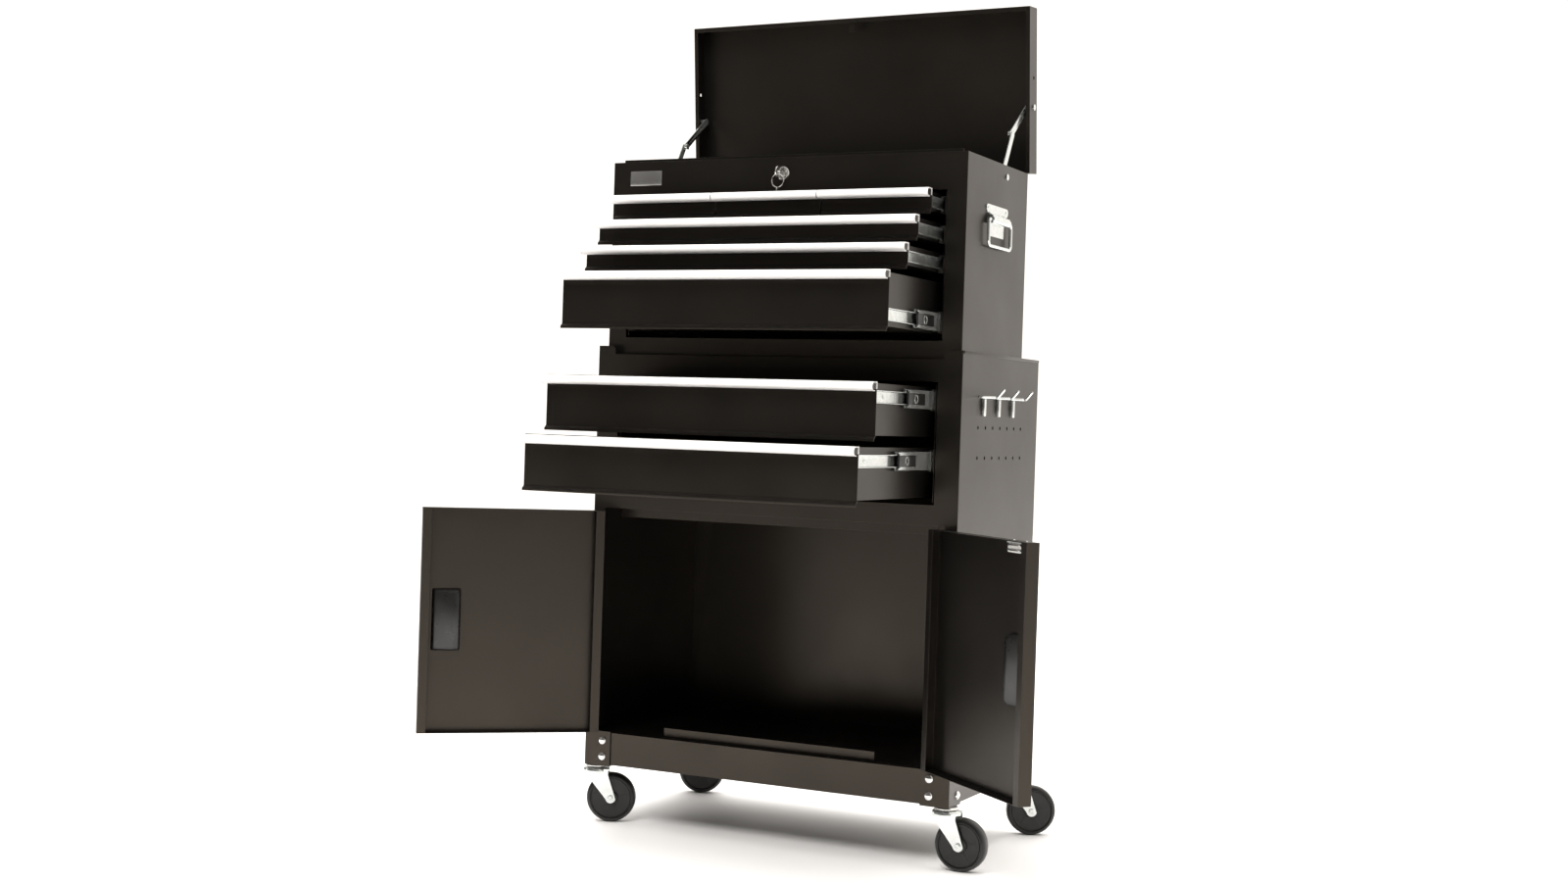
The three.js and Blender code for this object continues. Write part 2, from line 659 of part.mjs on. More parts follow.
function chestFrontSolid() {
  const sheet = rectangle(-CHEST_X, CHEST_X, CHEST_Z0, CHEST_Z1);
  sheet.holes.push(rectangle(-CHEST_BAY_X, CHEST_BAY_X, CHEST_BAY_Z0, CHEST_BAY_Z1));
  sheet.holes.push(roundHole(0, LOCK_Z, LOCK_HOLE_R, DISC_SIDES));
  const y0 = CHEST_Y0;
  const back = y0 + SHEET - WELD;
  const deep = y0 + SHEET + RETURN_DEPTH;
  const stiles = [-1, 1].map((side) => slab(side * CHEST_BAY_X, side * (CHEST_BAY_X + SHEET), back, deep,
    CHEST_BAY_Z0, CHEST_BAY_Z1));
  const wide = CHEST_BAY_X + SHEET;
  const sill = slab(-wide, wide, back, deep, CHEST_BAY_Z0 - SHEET, CHEST_BAY_Z0);
  const head = slab(-wide, wide, back, deep, CHEST_BAY_Z1, CHEST_BAY_Z1 + SHEET);
  const inside = CHEST_X - SHEET - FIT_GAP;
  const fold = slab(-inside, inside, back, deep, CHEST_Z1 - SHEET, CHEST_Z1);
  const lip = slab(-CHEST_X + RAIL_LIP_IN, CHEST_X - RAIL_LIP_IN, deep - SHEET, deep,
    CHEST_Z1 - SHEET, CHEST_Z1 + RAIL_LIP_H);
  return fuse(alongY(sheet, y0, y0 + SHEET), ...stiles, sill, head, fold, lip);
}

// The floor of the till, with the two dividers that carry the small drawers' inner slides
const SMALL_PITCH = (2 * (CHEST_BAY_X - FACE_SIDE_GAP) + SMALL_GAP) / 3;
function tillSolid() {
  const x = CHEST_X - SHEET;
  const [y0, y1] = [CHEST_Y0 + SHEET + FIT_GAP, CHEST_Y1 - SHEET - FIT_GAP];
  const floor = slab(-x, x, y0, y1, TILL_Z, TILL_Z + SHEET);
  const flanges = [-1, 1].map((side) => slab(side * x, side * (x - SHEET), y0, y1,
    TILL_Z, TILL_Z + TILL_FLANGE));
  const dividers = [-1, 1].flatMap((side) => {
    const middle = side * SMALL_PITCH / 2;
    const [z0, z1] = [ROW_1.slide - SHORT_OUTER_HALF, TILL_Z + WELD];
    const wall = slab(middle - SHEET / 2, middle + SHEET / 2, CHEST_SLIDE_Y + RETURN_DEPTH, y1, z0, z1);
    const rails = [-1, 1].flatMap((dir) => channel(middle + dir * SHEET / 2, dir, SHORT_OUTER_HALF,
      SHORT_DEPTH, CHEST_SLIDE_Y + RETURN_DEPTH, CHEST_SLIDE_Y + CHEST_SLIDE_L, ROW_1.slide,
      SHORT_INNER_HALF));
    return [wall, ...rails];
  });
  return fuse(floor, ...flanges, ...dividers);
}

addPiece('chest_shell', chestShellSolid(), BLACK_PAINT);
addPiece('chest_front', chestFrontSolid(), BLACK_PAINT);
addPiece('chest_till', tillSolid(), BLACK_PAINT);

// Cabinet body
function pegY(column) {
  return PEG_FIRST_Y + column * PEG_PITCH_Y;
}

function pegZ(row) {
  return CAB_Z1 - PEG_TOP_DROP - row * PEG_PITCH_Z;
}

function cabinetShellSolid() {
  const board = rectangle(SHEET, CAB_D, CAB_Z0, CAB_Z1);
  for (let row = 0; row < PEG_ROWS; row += 1) {
    for (let column = 0; column < PEG_COLUMNS; column += 1) {
      board.holes.push(roundHole(pegY(column), pegZ(row), PEG_HOLE_R));
    }
  }
  const right = alongX(board, CAB_X - SHEET, CAB_X);
  const left = slab(-CAB_X, -CAB_X + SHEET, SHEET, CAB_D, CAB_Z0, CAB_Z1);
  const back = slab(-CAB_X, CAB_X, CAB_D - SHEET, CAB_D, CAB_Z0, CAB_Z1);
  const tray = slab(-CAB_X, CAB_X, SHEET, CAB_D, TRAY_Z - SHEET, TRAY_Z);
  const flanges = [-1, 1].map((side) => slab(side * CAB_X, side * (CAB_X - BOTTOM_FLANGE), SHEET, CAB_D,
    CAB_Z0, CAB_Z0 + SHEET));
  const end = CAB_SLIDE_Y + CAB_SLIDE_L;
  const rail = (side, row) => channel(side * CAB_WALL_X, -side, OUTER_HALF, OUTER_DEPTH,
    CAB_SLIDE_Y, end, row.slide, MID_HALF);
  const liners = [-1, 1].map((side) => linerWith(CAB_WALL_X, side, CAB_SLIDE_Y, CAB_D - SHEET + WELD,
    CAB_BAY_Z0 + LINER_MARGIN, CAB_BAY_Z1 - LINER_MARGIN,
    [rail(side, CAB_ROW_1), rail(side, CAB_ROW_2)]));
  return fuse(right, left, back, tray, ...flanges, ...liners.flat());
}

function doorHingeZ() {
  const [low, high] = [ROOM_Z0 + DOOR_GAP_LOW, ROOM_Z1 - DOOR_GAP_TOP];
  return [low + HINGE_FROM_END, high - HINGE_FROM_END];
}

// The frame's half of a door hinge stands below the joint of the knuckle, the door's half above it
function frameHinge(side, z) {
  const x = side * (ROOM_X - DOOR_AXIS_IN);
  const low = z - KNUCKLE_GAP / 2 - KNUCKLE_L;
  const high = z - KNUCKLE_GAP / 2;
  const leaf = slab(x, x + side * HINGE_LEAF_W, -HINGE_LEAF_T, WELD, low, high);
  return [rodZ(x, -DOOR_AXIS_OUT, low, high, KNUCKLE_R, HOLE_SIDES), leaf];
}

function cabinetFrontSolid() {
  const horn = CAB_X - TRAY_STILE;
  const round = horn + TRAY_ROUND;
  const sheet = shapeOf([[-CAB_X, CAB_Z0], [CAB_X, CAB_Z0], [CAB_X, CAB_Z1], [round, CAB_Z1],
    [horn, CAB_Z1 - TRAY_ROUND], [horn, TRAY_Z], [-horn, TRAY_Z], [-horn, CAB_Z1 - TRAY_ROUND],
    [-round, CAB_Z1], [-CAB_X, CAB_Z1]]);
  sheet.holes.push(rectangle(-CAB_BAY_X, CAB_BAY_X, CAB_BAY_Z0, CAB_BAY_Z1));
  sheet.holes.push(rectangle(-ROOM_X, ROOM_X, ROOM_Z0, ROOM_Z1));
  const back = SHEET - WELD;
  const deep = SHEET + RETURN_DEPTH;
  const stiles = [-1, 1].flatMap((side) => [
    slab(side * CAB_BAY_X, side * (CAB_BAY_X + SHEET), back, deep, CAB_BAY_Z0, CAB_BAY_Z1),
    slab(side * ROOM_X, side * (ROOM_X + SHEET), back, deep, ROOM_Z0 + RETURN_RELIEF, ROOM_Z1),
  ]);
  const wide = CAB_BAY_X + SHEET;
  const head = slab(-wide, wide, back, deep, CAB_BAY_Z1, CAB_BAY_Z1 + SHEET);
  const sill = slab(-wide, wide, back, deep, CAB_BAY_Z0 - SHEET, CAB_BAY_Z0);
  const inside = CAB_X - SHEET - FIT_GAP;
  const shelf = slab(-inside, inside, back, CAB_D - SHEET - FIT_GAP, ROOM_Z1, ROOM_Z1 + SHEET);
  const stop = slab(-STOP_UP_HALF, STOP_UP_HALF, STOP_SETBACK, STOP_SETBACK + SHEET,
    ROOM_Z1 - STOP_UP_H, ROOM_Z1 + WELD);
  const hinges = [-1, 1].flatMap((side) => doorHingeZ().flatMap((z) => frameHinge(side, z)));
  return fuse(alongY(sheet, 0, SHEET), ...stiles, head, sill, shelf, stop, ...hinges);
}

function cabinetFloorSolid() {
  const x = CAB_X - SHEET;
  const [y0, y1] = [SHEET, CAB_D - SHEET - FIT_GAP];
  const top = ROOM_Z0 - FIT_GAP;
  const floor = slab(-x, x, y0, y1, top - SHEET, top);
  const flanges = [-1, 1].map((side) => slab(side * x, side * (x - SHEET), y0, y1,
    top - BOTTOM_FLANGE, top));
  const stop = slab(-STOP_LOW_HALF, STOP_LOW_HALF, STOP_SETBACK, STOP_SETBACK + SHEET,
    top - WELD, top + STOP_UP_H);
  return fuse(floor, ...flanges, stop);
}

addPiece('cabinet_shell', cabinetShellSolid(), BLACK_PAINT);
addPiece('cabinet_front', cabinetFrontSolid(), BLACK_PAINT);
addPiece('cabinet_floor', cabinetFloorSolid(), BLACK_PAINT);

// Drawers. Each is built where it stands, pulled out from its frame's front plane.
function faceShape(y, z0, z1) {
  const fold = z0 + FACE_LIP_H;
  return shapeOf([[y, z1], [y, fold], [y - FACE_LIP_OUT, z0], [y - FACE_LIP_OUT + DRAWER_SHEET, z0],
    [y + DRAWER_SHEET, fold], [y + DRAWER_SHEET, z1]]);
}

function drawerSolid({ x, half, front, row, depth, innerHalf, innerDepth, ends }) {
  const face = alongX(faceShape(front, row.z0, row.z1), x - half, x + half);
  const [boxL, boxR] = ends;
  const [y0, y1] = [front + DRAWER_SHEET - WELD, front + depth];
  const [z0, z1] = [row.z0 + BOX_RAISE, row.z1 - BOX_DROP];
  const floor = slab(boxL, boxR, y0, y1, z0, z0 + DRAWER_SHEET);
  const back = slab(boxL, boxR, y1 - DRAWER_SHEET, y1, z0, z1);
  const sides = [[boxL, 1], [boxR, -1]].map(([wall, dir]) => slab(wall, wall + dir * DRAWER_SHEET,
    y0, y1, z0, z1));
  const rails = [[boxL + WELD, -1], [boxR - WELD, 1]].flatMap(([wall, dir]) => channel(wall, dir,
    innerHalf, innerDepth + WELD, y0 + SHEET, y1, row.slide));
  return fuse(face, floor, back, ...sides, ...rails);
}

function trimShape(y, z1) {
  const z0 = z1 - TRIM_H;
  const back = z1 - TRIM_BACK_H;
  const [out, inner] = [y - TRIM_D, y - TRIM_D + TRIM_T];
  const under = z1 - TRIM_T;
  return shapeOf([[y, z1], [out + TRIM_ROUND, z1], [out, z1 - TRIM_ROUND], [out, z0], [inner, z0],
    [inner, z1 - TRIM_ROUND], [out + TRIM_ROUND, under], [y - TRIM_T, under], [y - TRIM_T, back], [y, back]]);
}

function addDrawer(name, options) {
  const { x, half, front, row, over = TRIM_OVER } = options;
  addPiece(`drawer_${name}`, drawerSolid(options), BLACK_PAINT);
  const trim = trimShape(front, row.z1 - TRIM_DROP);
  addPiece(`trim_${name}`, solidOf(alongX(trim, x - half - over, x + half + over)), TRIM_METAL);
}

const LONG_SLIDE = { innerHalf: INNER_HALF, innerDepth: INNER_DEPTH };
const SHORT_SLIDE = { innerHalf: SHORT_INNER_HALF, innerDepth: SHORT_DEPTH };

function addSmallDrawers() {
  const reach = SMALL_PITCH / 2 - SHEET / 2 - SLIDE_W;
  [['left', -1], ['middle', 0], ['right', 1]].forEach(([name, place]) => {
    const x = place * SMALL_PITCH;
    const outer = CHEST_WALL_X - SLIDE_W;
    const ends = [place < 0 ? -outer : x - reach, place > 0 ? outer : x + reach];
    addDrawer(`row1_${name}`, { x, half: (SMALL_PITCH - SMALL_GAP) / 2, over: SMALL_TRIM_OVER, ends,
      row: ROW_1, front: CHEST_Y0 - PULL_ROW_1, depth: CHEST_BOX_D, ...SHORT_SLIDE });
  });
}

function addWideDrawer(name, bay, wall, plane, pull, row, depth, slide) {
  const reach = wall - SLIDE_W;
  addDrawer(name, { x: 0, half: bay - FACE_SIDE_GAP, ends: [-reach, reach], row,
    front: plane - pull, depth, ...slide });
}

addSmallDrawers();
addWideDrawer('row2', CHEST_BAY_X, CHEST_WALL_X, CHEST_Y0, PULL_ROW_2, ROW_2, CHEST_BOX_D, SHORT_SLIDE);
addWideDrawer('row3', CHEST_BAY_X, CHEST_WALL_X, CHEST_Y0, PULL_ROW_3, ROW_3, CHEST_BOX_D, SHORT_SLIDE);
addWideDrawer('row4', CHEST_BAY_X, CHEST_WALL_X, CHEST_Y0, PULL_ROW_4, ROW_4, CHEST_BOX_D, LONG_SLIDE);
addWideDrawer('cabinet1', CAB_BAY_X, CAB_WALL_X, 0, PULL_CAB_1, CAB_ROW_1, CAB_BOX_D, LONG_SLIDE);
addWideDrawer('cabinet2', CAB_BAY_X, CAB_WALL_X, 0, PULL_CAB_2, CAB_ROW_2, CAB_BOX_D, LONG_SLIDE);

// The middle member of each telescopic slide goes half as far as its drawer
function addMiddles(name, wall, plane, pull, row, length) {
  for (const [side, sign] of SIDES) {
    const from = sign * (wall - MID_OFFSET);
    const y0 = plane + MID_START - pull * MID_TRAVEL_SHARE;
    const solid = fuse(...channel(from, -sign, MID_HALF, MID_DEPTH, y0, y0 + length, row.slide,
      INNER_HALF));
    addPiece(`slide_${name}_${side}`, solid, ZINC);
  }
}

addMiddles('row4', CHEST_WALL_X, CHEST_Y0, PULL_ROW_4, ROW_4, CHEST_SLIDE_L - MID_START);
addMiddles('cabinet1', CAB_WALL_X, 0, PULL_CAB_1, CAB_ROW_1, CAB_SLIDE_L - MID_START);
addMiddles('cabinet2', CAB_WALL_X, 0, PULL_CAB_2, CAB_ROW_2, CAB_SLIDE_L - MID_START);

// Doors. Each is built in its own group: x runs from the hinge towards the free edge times the sign of the
// way in, y = 0 is the hinge line, and the group is turned open.
function doorGroup(side) {
  const group = new THREE.Group();
  group.position.set(side * (ROOM_X - DOOR_AXIS_IN), -DOOR_AXIS_OUT, 0);
  group.rotation.z = side * THREE.MathUtils.degToRad(DOOR_OPEN_DEG);
  root.add(group);
  return group;
}

function doorSolid(side) {
  const way = -side;
  const [x0, x1] = [way * DOOR_EDGE, way * (DOOR_EDGE + DOOR_W)];
  const [y0, y1] = [DOOR_AXIS_OUT, DOOR_AXIS_OUT + DOOR_T];
  const [z0, z1] = [ROOM_Z0 + DOOR_GAP_LOW, ROOM_Z1 - DOOR_GAP_TOP];
  const panel = slab(x0, x1, y0, y0 + SHEET, z0, z1);
  const edges = [slab(x0, x0 + way * SHEET, y0, y1, z0, z1), slab(x1, x1 - way * SHEET, y0, y1, z0, z1),
    slab(x0, x1, y0, y1, z0, z0 + SHEET), slab(x0, x1, y0, y1, z1 - SHEET, z1)];
  const lips = [slab(x0, x0 + way * DOOR_LIP, y1 - SHEET, y1, z0, z1),
    slab(x1, x1 - way * DOOR_LIP, y1 - SHEET, y1, z0, z1)];
  const hinges = doorHingeZ().flatMap((z) => {
    const [low, high] = [z + KNUCKLE_GAP / 2, z + KNUCKLE_GAP / 2 + KNUCKLE_L];
    const leaf = slab(0, way * HINGE_LEAF_W, y0 - HINGE_LEAF_T, y0 + WELD, low, high);
    return [rodZ(0, 0, low, high, KNUCKLE_R, HOLE_SIDES), leaf];
  });
  const hole = slab(way * (pullX() - FIT_GAP), way * (pullX() + PULL_W + FIT_GAP), y0 - SHEET,
    y0 + 2 * SHEET, pullZ() - FIT_GAP, pullZ() + PULL_H + FIT_GAP);
  return cut(fuse(panel, ...edges, ...lips, ...hinges), hole);
}

function pullX() {
  return DOOR_EDGE + DOOR_W - PULL_FROM_EDGE - PULL_W;
}

function pullZ() {
  return (ROOM_Z0 + DOOR_GAP_LOW + ROOM_Z1 - DOOR_GAP_TOP - PULL_H) / 2;
}

function doorPullSolid(side) {
  const way = -side;
  const [x0, x1] = [pullX(), pullX() + PULL_W];
  const [z0, z1] = [pullZ(), pullZ() + PULL_H];
  const y0 = DOOR_AXIS_OUT;
  const rim = slab(way * (x0 - PULL_RIM), way * (x1 + PULL_RIM), y0 - PULL_RIM_T, y0,
    z0 - PULL_RIM, z1 + PULL_RIM);
  const cup = slab(way * x0, way * x1, y0 - WELD, y0 + PULL_DEPTH, z0, z1);
  const hollow = slab(way * (x0 + PULL_WALL), way * (x1 - PULL_WALL), y0 - PULL_DEPTH,
    y0 + PULL_DEPTH - PULL_WALL, z0 + PULL_WALL, z1 - PULL_WALL);
  return cut(fuse(rim, cup), hollow);
}

function catchSolid(side) {
  const way = -side;
  const x1 = DOOR_EDGE + DOOR_W - CATCH_FROM_EDGE;
  const y0 = DOOR_AXIS_OUT + SHEET;
  const z1 = ROOM_Z1 - DOOR_GAP_TOP - SHEET - FIT_GAP;
  const body = slab(way * (x1 - CATCH_W), way * x1, y0, y0 + CATCH_D, z1 - CATCH_H, z1);
  const middle = x1 - CATCH_W / 2;
  const poles = [-1, 1].map((up) => slab(way * (middle - CATCH_POLE_W / 2),
    way * (middle + CATCH_POLE_W / 2), y0 + CATCH_D - WELD, y0 + CATCH_D + CATCH_POLE_OUT,
    z1 - CATCH_H / 2 + up * CATCH_POLE_T, z1 - CATCH_H / 2 + up * 2 * CATCH_POLE_T));
  return fuse(body, ...poles);
}

for (const [name, side] of SIDES) {
  const group = doorGroup(side);
  addPiece(`door_${name}`, doorSolid(side), BLACK_PAINT, group);
  addPiece(`door_pull_${name}`, doorPullSolid(side), BLACK_PLASTIC, group);
  if (side > 0) addPiece('door_catch', catchSolid(side), WHITE_PLASTIC, group);
}

// Lid, built shut around the hinge line and turned open in its group
const SHUT = (y, z) => [y - HINGE_Y, z - HINGE_Z];

function lidGroup() {
  const group = new THREE.Group();
  group.position.set(0, HINGE_Y, HINGE_Z);
  group.rotation.x = -THREE.MathUtils.degToRad(LID_OPEN_DEG);
  root.add(group);
  return group;
}

function hingeSpan(index) {
  const half = CHEST_X - HINGE_END_IN;
  const step = (2 * half) / HINGE_SPANS;
  return [-half + index * step + KNUCKLE_GAP / 2, -half + (index + 1) * step - KNUCKLE_GAP / 2];
}

// Every second knuckle is the lid's; the leaves keep clear of the other leaf's knuckles
function hingeLeaf(parity, up) {
  const half = CHEST_X - HINGE_END_IN;
  const face = SHUT(CHEST_Y1, 0)[0];
  const spans = Array.from({ length: HINGE_SPANS }, (_, i) => i).filter((i) => i % 2 === parity);
  const clear = HINGE_R + MOVE_GAP;
  const leaf = slab(-half, half, face, face + HINGE_LEAF_T, up * clear, up * HINGE_LEAF_H);
  const knuckles = spans.flatMap((i) => {
    const [x0, x1] = hingeSpan(i);
    const tongue = slab(x0, x1, face, face + HINGE_LEAF_T, 0, up * (clear + WELD));
    return [rodX(0, 0, x0, x1, HINGE_R, HOLE_SIDES), tongue];
  });
  return [leaf, ...knuckles];
}

function lidSolid() {
  const [y0, z0] = SHUT(CHEST_Y0, LID_Z0);
  const [y1, z1] = SHUT(CHEST_Y1, LID_Z1);
  const x = CHEST_X;
  const panel = slab(-x, x, y0, y1, z1 - SHEET, z1);
  const flanges = [slab(-x, x, y0, y0 + SHEET, z0, z1), slab(-x, x, y1 - SHEET, y1, z0, z1),
    slab(-x, -x + SHEET, y0, y1, z0, z1), slab(x - SHEET, x, y0, y1, z0, z1)];
  const hems = [slab(-x, x, y0, y0 + SHEET + LID_HEM, z0, z0 + SHEET),
    slab(-x, -x + SHEET + LID_HEM, y0, y1, z0, z0 + SHEET),
    slab(x - SHEET - LID_HEM, x, y0, y1, z0, z0 + SHEET)];
  const tabZ = SHUT(0, TAB_Z)[1];
  const tab = slab(TAB_X - TAB_W / 2, TAB_X + TAB_W / 2, y0 + SHEET - WELD, y0 + SHEET + TAB_L,
    tabZ, tabZ + SHEET);
  const bores = [-1, 1].flatMap((side) => {
    const [from, to] = [side * (x - 2 * SHEET), side * (x + SHEET)];
    const [ly, lz] = stayLidPoint();
    return [rodX(ly, lz, from, to, STAY_HOLE_R, HOLE_SIDES),
      rodX(y1 - LID_HOLE_ALONG, lz, from, to, LID_HOLE_R, HOLE_SIDES)];
  });
  const pin = rodX(0, 0, -x, x, HINGE_BORE_R, HOLE_SIDES);
  return cut(fuse(panel, ...flanges, ...hems, tab, ...hingeLeaf(1, 1)), ...bores, pin);
}

function stayLidPoint() {
  return SHUT(CHEST_Y1 - STAY_LID_BACK, LID_Z0 + STAY_LID_RAISE);
}

function lidHingeSolid() {
  const half = CHEST_X - HINGE_END_IN;
  const leaf = fuse(...hingeLeaf(0, -1), rodX(0, 0, -half, half, HINGE_PIN_R, HOLE_SIDES));
  return leaf.translate([0, HINGE_Y, HINGE_Z]);
}

const lidOpen = lidGroup();
addPiece('lid', lidSolid(), BLACK_PAINT, lidOpen);
addPiece('lid_hinge', lidHingeSolid(), ZINC);

// Stays. Each is two flat links; the knee stands off the straight line by what the two lengths leave over.
function stayPoints() {
  const low = new THREE.Vector2(CHEST_Y1 - STAY_CHEST_BACK, CHEST_Z1 - STAY_CHEST_DROP);
  const open = THREE.MathUtils.degToRad(-LID_OPEN_DEG);
  const high = new THREE.Vector2(...stayLidPoint()).rotateAround(new THREE.Vector2(), open);
  high.add(new THREE.Vector2(HINGE_Y, HINGE_Z));
  const along = high.clone().sub(low);
  const span = along.length();
  const foot = (STAY_LOW_L ** 2 - STAY_UP_L ** 2 + span ** 2) / (2 * span);
  const rise = Math.sqrt(Math.max(STAY_LOW_L ** 2 - foot ** 2, 0));
  along.normalize();
  const knee = low.clone().addScaledVector(along, foot)
    .addScaledVector(new THREE.Vector2(-along.y, along.x), rise);
  return { low, knee, high };
}

function linkShape(from, to) {
  const way = Math.atan2(to.y - from.y, to.x - from.x);
  const cap = (centre, start) => Array.from({ length: TIP_SIDES + 1 }, (_, i) => {
    const turn = way + start + (Math.PI * i) / TIP_SIDES;
    return [centre.x + STAY_HALF_W * Math.cos(turn), centre.y + STAY_HALF_W * Math.sin(turn)];
  });
  return shapeOf([...cap(from, Math.PI / 2), ...cap(to, -Math.PI / 2)]);
}

// A rivet from a link through the hole in the sheet beside it, with a head outside
function stayRivet(side, point, link) {
  const sheet = CHEST_X - SHEET - FIT_GAP;
  return [rodX(point.x, point.y, side * link, side * sheet, STAY_BOSS_R, HOLE_SIDES),
    rodX(point.x, point.y, side * (sheet - WELD), side * (CHEST_X + FIT_GAP + WELD), STAY_PIN_R, HOLE_SIDES),
    rodX(point.x, point.y, side * (CHEST_X + FIT_GAP), side * (CHEST_X + FIT_GAP + STAY_HEAD_T),
      STAY_HEAD_R, HOLE_SIDES)];
}

for (const [name, side] of SIDES) {
  const { low, knee, high } = stayPoints();
  const outer = CHEST_X - STAY_X_IN;
  const inner = outer - STAY_STEP;
  const lower = alongX(linkShape(low, knee), side * outer, side * (outer - STAY_T));
  const upper = alongX(linkShape(high, knee), side * inner, side * (inner - STAY_T));
  const knob = rodX(knee.x, knee.y, side * (inner - STAY_T + WELD), side * (inner - STAY_T - STAY_KNOB_T),
    STAY_KNOB_R, HOLE_SIDES);
  addPiece(`stay_lower_${name}`, fuse(lower, ...stayRivet(side, low, outer - WELD)), ZINC);
  addPiece(`stay_upper_${name}`, fuse(upper, knob, ...stayRivet(side, high, inner - WELD)), ZINC);
}

// Lock: the barrel turns with its cam and with the key that stands in it. The cam's neck stands up beside
// the lid's tab when it is turned, and its finger lies over the tab.
function lockSolid() {
  const plane = CHEST_Y0 + SHEET + RETURN_DEPTH + CAM_BEHIND;
  const bezelY = CHEST_Y0 - FIT_GAP;
  const front = bezelY - LOCK_BEZEL_T;
  const bezel = rodY(0, LOCK_Z, front, bezelY, LOCK_BEZEL_R, DISC_SIDES);
  const body = rodY(0, LOCK_Z, bezelY - WELD, plane + WELD, LOCK_BODY_R, DISC_SIDES);
  const arm = slab(-CAM_W / 2, CAM_L - CAM_NECK_L, plane, plane + CAM_T, LOCK_Z - CAM_W / 2,
    LOCK_Z + CAM_W / 2);
  const neck = slab(CAM_L - CAM_NECK_L - WELD, CAM_L, plane, plane + CAM_T, LOCK_Z - CAM_NECK_W / 2,
    LOCK_Z + CAM_NECK_W / 2);
  const finger = slab(CAM_L - CAM_FINGER_W, CAM_L, plane, plane + CAM_T, LOCK_Z, LOCK_Z + CAM_FINGER);
  const stem = slab(-KEY_T / 2, KEY_T / 2, front - KEY_STEM_L, front + WELD,
    LOCK_Z - KEY_STEM_W / 2, LOCK_Z + KEY_STEM_W / 2);
  const bow = rodX(keyBowY(), LOCK_Z, -KEY_T / 2, KEY_T / 2, KEY_BOW_R, DISC_SIDES);
  const hole = rodX(keyBowY(), LOCK_Z, -KEY_T, KEY_T, KEY_BOW_HOLE_R, HOLE_SIDES);
  return cut(fuse(bezel, body, arm, neck, finger, stem, bow), hole);
}

function keyBowY() {
  return CHEST_Y0 - FIT_GAP - LOCK_BEZEL_T - KEY_STEM_L;
}

// The ring hangs in the key's bow. The spare key on it ends just above the drawers, which close under it.
function keyRingSolid() {
  const top = LOCK_Z - KEY_BOW_HOLE_R + RING_WIRE_R + RING_PLAY;
  const ring = new THREE.TorusGeometry(RING_R, RING_WIRE_R, ROD_SIDES, DISC_SIDES).rotateX(Math.PI / 2)
    .translate(0, keyBowY(), top - RING_R);
  const low = top - 2 * RING_R;
  const bow = rodX(keyBowY(), low - SPARE_BOW_R + RING_WIRE_R, -KEY_T / 2, KEY_T / 2, SPARE_BOW_R,
    HOLE_SIDES);
  const blade = slab(-KEY_T / 2, KEY_T / 2, keyBowY() - SPARE_BLADE_W / 2, keyBowY() + SPARE_BLADE_W / 2,
    ROW_1.z1 + SPARE_ABOVE_DRAWER, low - SPARE_BOW_R);
  return fuse(ring, bow, blade);
}

addPiece('lock', lockSolid(), CHROME);
addPiece('key_ring', keyRingSolid(), CHROME);

// Side handles: a riveted plate with a folded saddle, and a bail whose ends turn in the saddle
const HANDLE_Y = (CHEST_Y0 + CHEST_Y1) / 2 - HANDLE_FORWARD;
const HANDLE_Z1 = CHEST_Z1 - PLATE_TOP_DROP;
const BAIL_AXIS_Z = HANDLE_Z1 - BAIL_AXIS_DROP;

function handlePlateSolid(side) {
  const [z0, z1] = [HANDLE_Z1 - PLATE_H, HANDLE_Z1];
  const half = PLATE_W / 2;
  const [lobe, low, high] = [z1 - LOBE_H, BAIL_AXIS_Z - SADDLE_LOW, BAIL_AXIS_Z + SADDLE_UP];
  const out = (depth) => side * (CHEST_X + depth);
  const right = [[FOOT_HALF_W, z0], [FOOT_HALF_W, low], [NECK_HALF_W, lobe - PLATE_CORNER],
    [NECK_HALF_W, lobe], [half - PLATE_CORNER, lobe], [half, lobe + PLATE_CORNER],
    [half, z1 - PLATE_CORNER], [half - PLATE_CORNER, z1]];
  const outline = shapeOf([...right, ...right.map(([y, z]) => [-y, z]).reverse()]);
  const sheet = alongX(outline, out(0), out(PLATE_T)).translate(0, HANDLE_Y, 0);
  const root = out(PLATE_T - WELD);
  const saddle = alongY(shapeOf([[root, low], [out(SADDLE_OUT), low],
    [out(SADDLE_OUT), BAIL_AXIS_Z + SADDLE_LOW], [root, high]]), HANDLE_Y - SADDLE_HALF_W,
  HANDLE_Y + SADDLE_HALF_W);
  const bore = rodY(out(BAIL_AXIS_OUT), BAIL_AXIS_Z, HANDLE_Y - PLATE_W, HANDLE_Y + PLATE_W,
    BAIL_R + BAIL_CLEAR, HOLE_SIDES);
  const rivets = [-1, 1].map((end) => rodX(HANDLE_Y + end * RIVET_IN_Y, z1 - RIVET_IN_Z,
    out(PLATE_T - WELD), out(PLATE_T + RIVET_H), RIVET_R, HOLE_SIDES));
  return cut(fuse(sheet, saddle, ...rivets), bore);
}

function bailSolid(side) {
  const x = side * (CHEST_X + BAIL_AXIS_OUT);
  const low = BAIL_AXIS_Z - BAIL_L;
  const corners = [[-BAIL_HALF_W, BAIL_AXIS_Z], [-BAIL_HALF_W, low], [BAIL_HALF_W, low],
    [BAIL_HALF_W, BAIL_AXIS_Z]];
  const path = [[-BAIL_END_Y, BAIL_AXIS_Z], ...corners, [BAIL_END_Y, BAIL_AXIS_Z]];
  return solidOf(wire(path.map(([y, z]) => at(x, HANDLE_Y + y, z)), BAIL_R, BAIL_BEND, ACROSS_X));
}

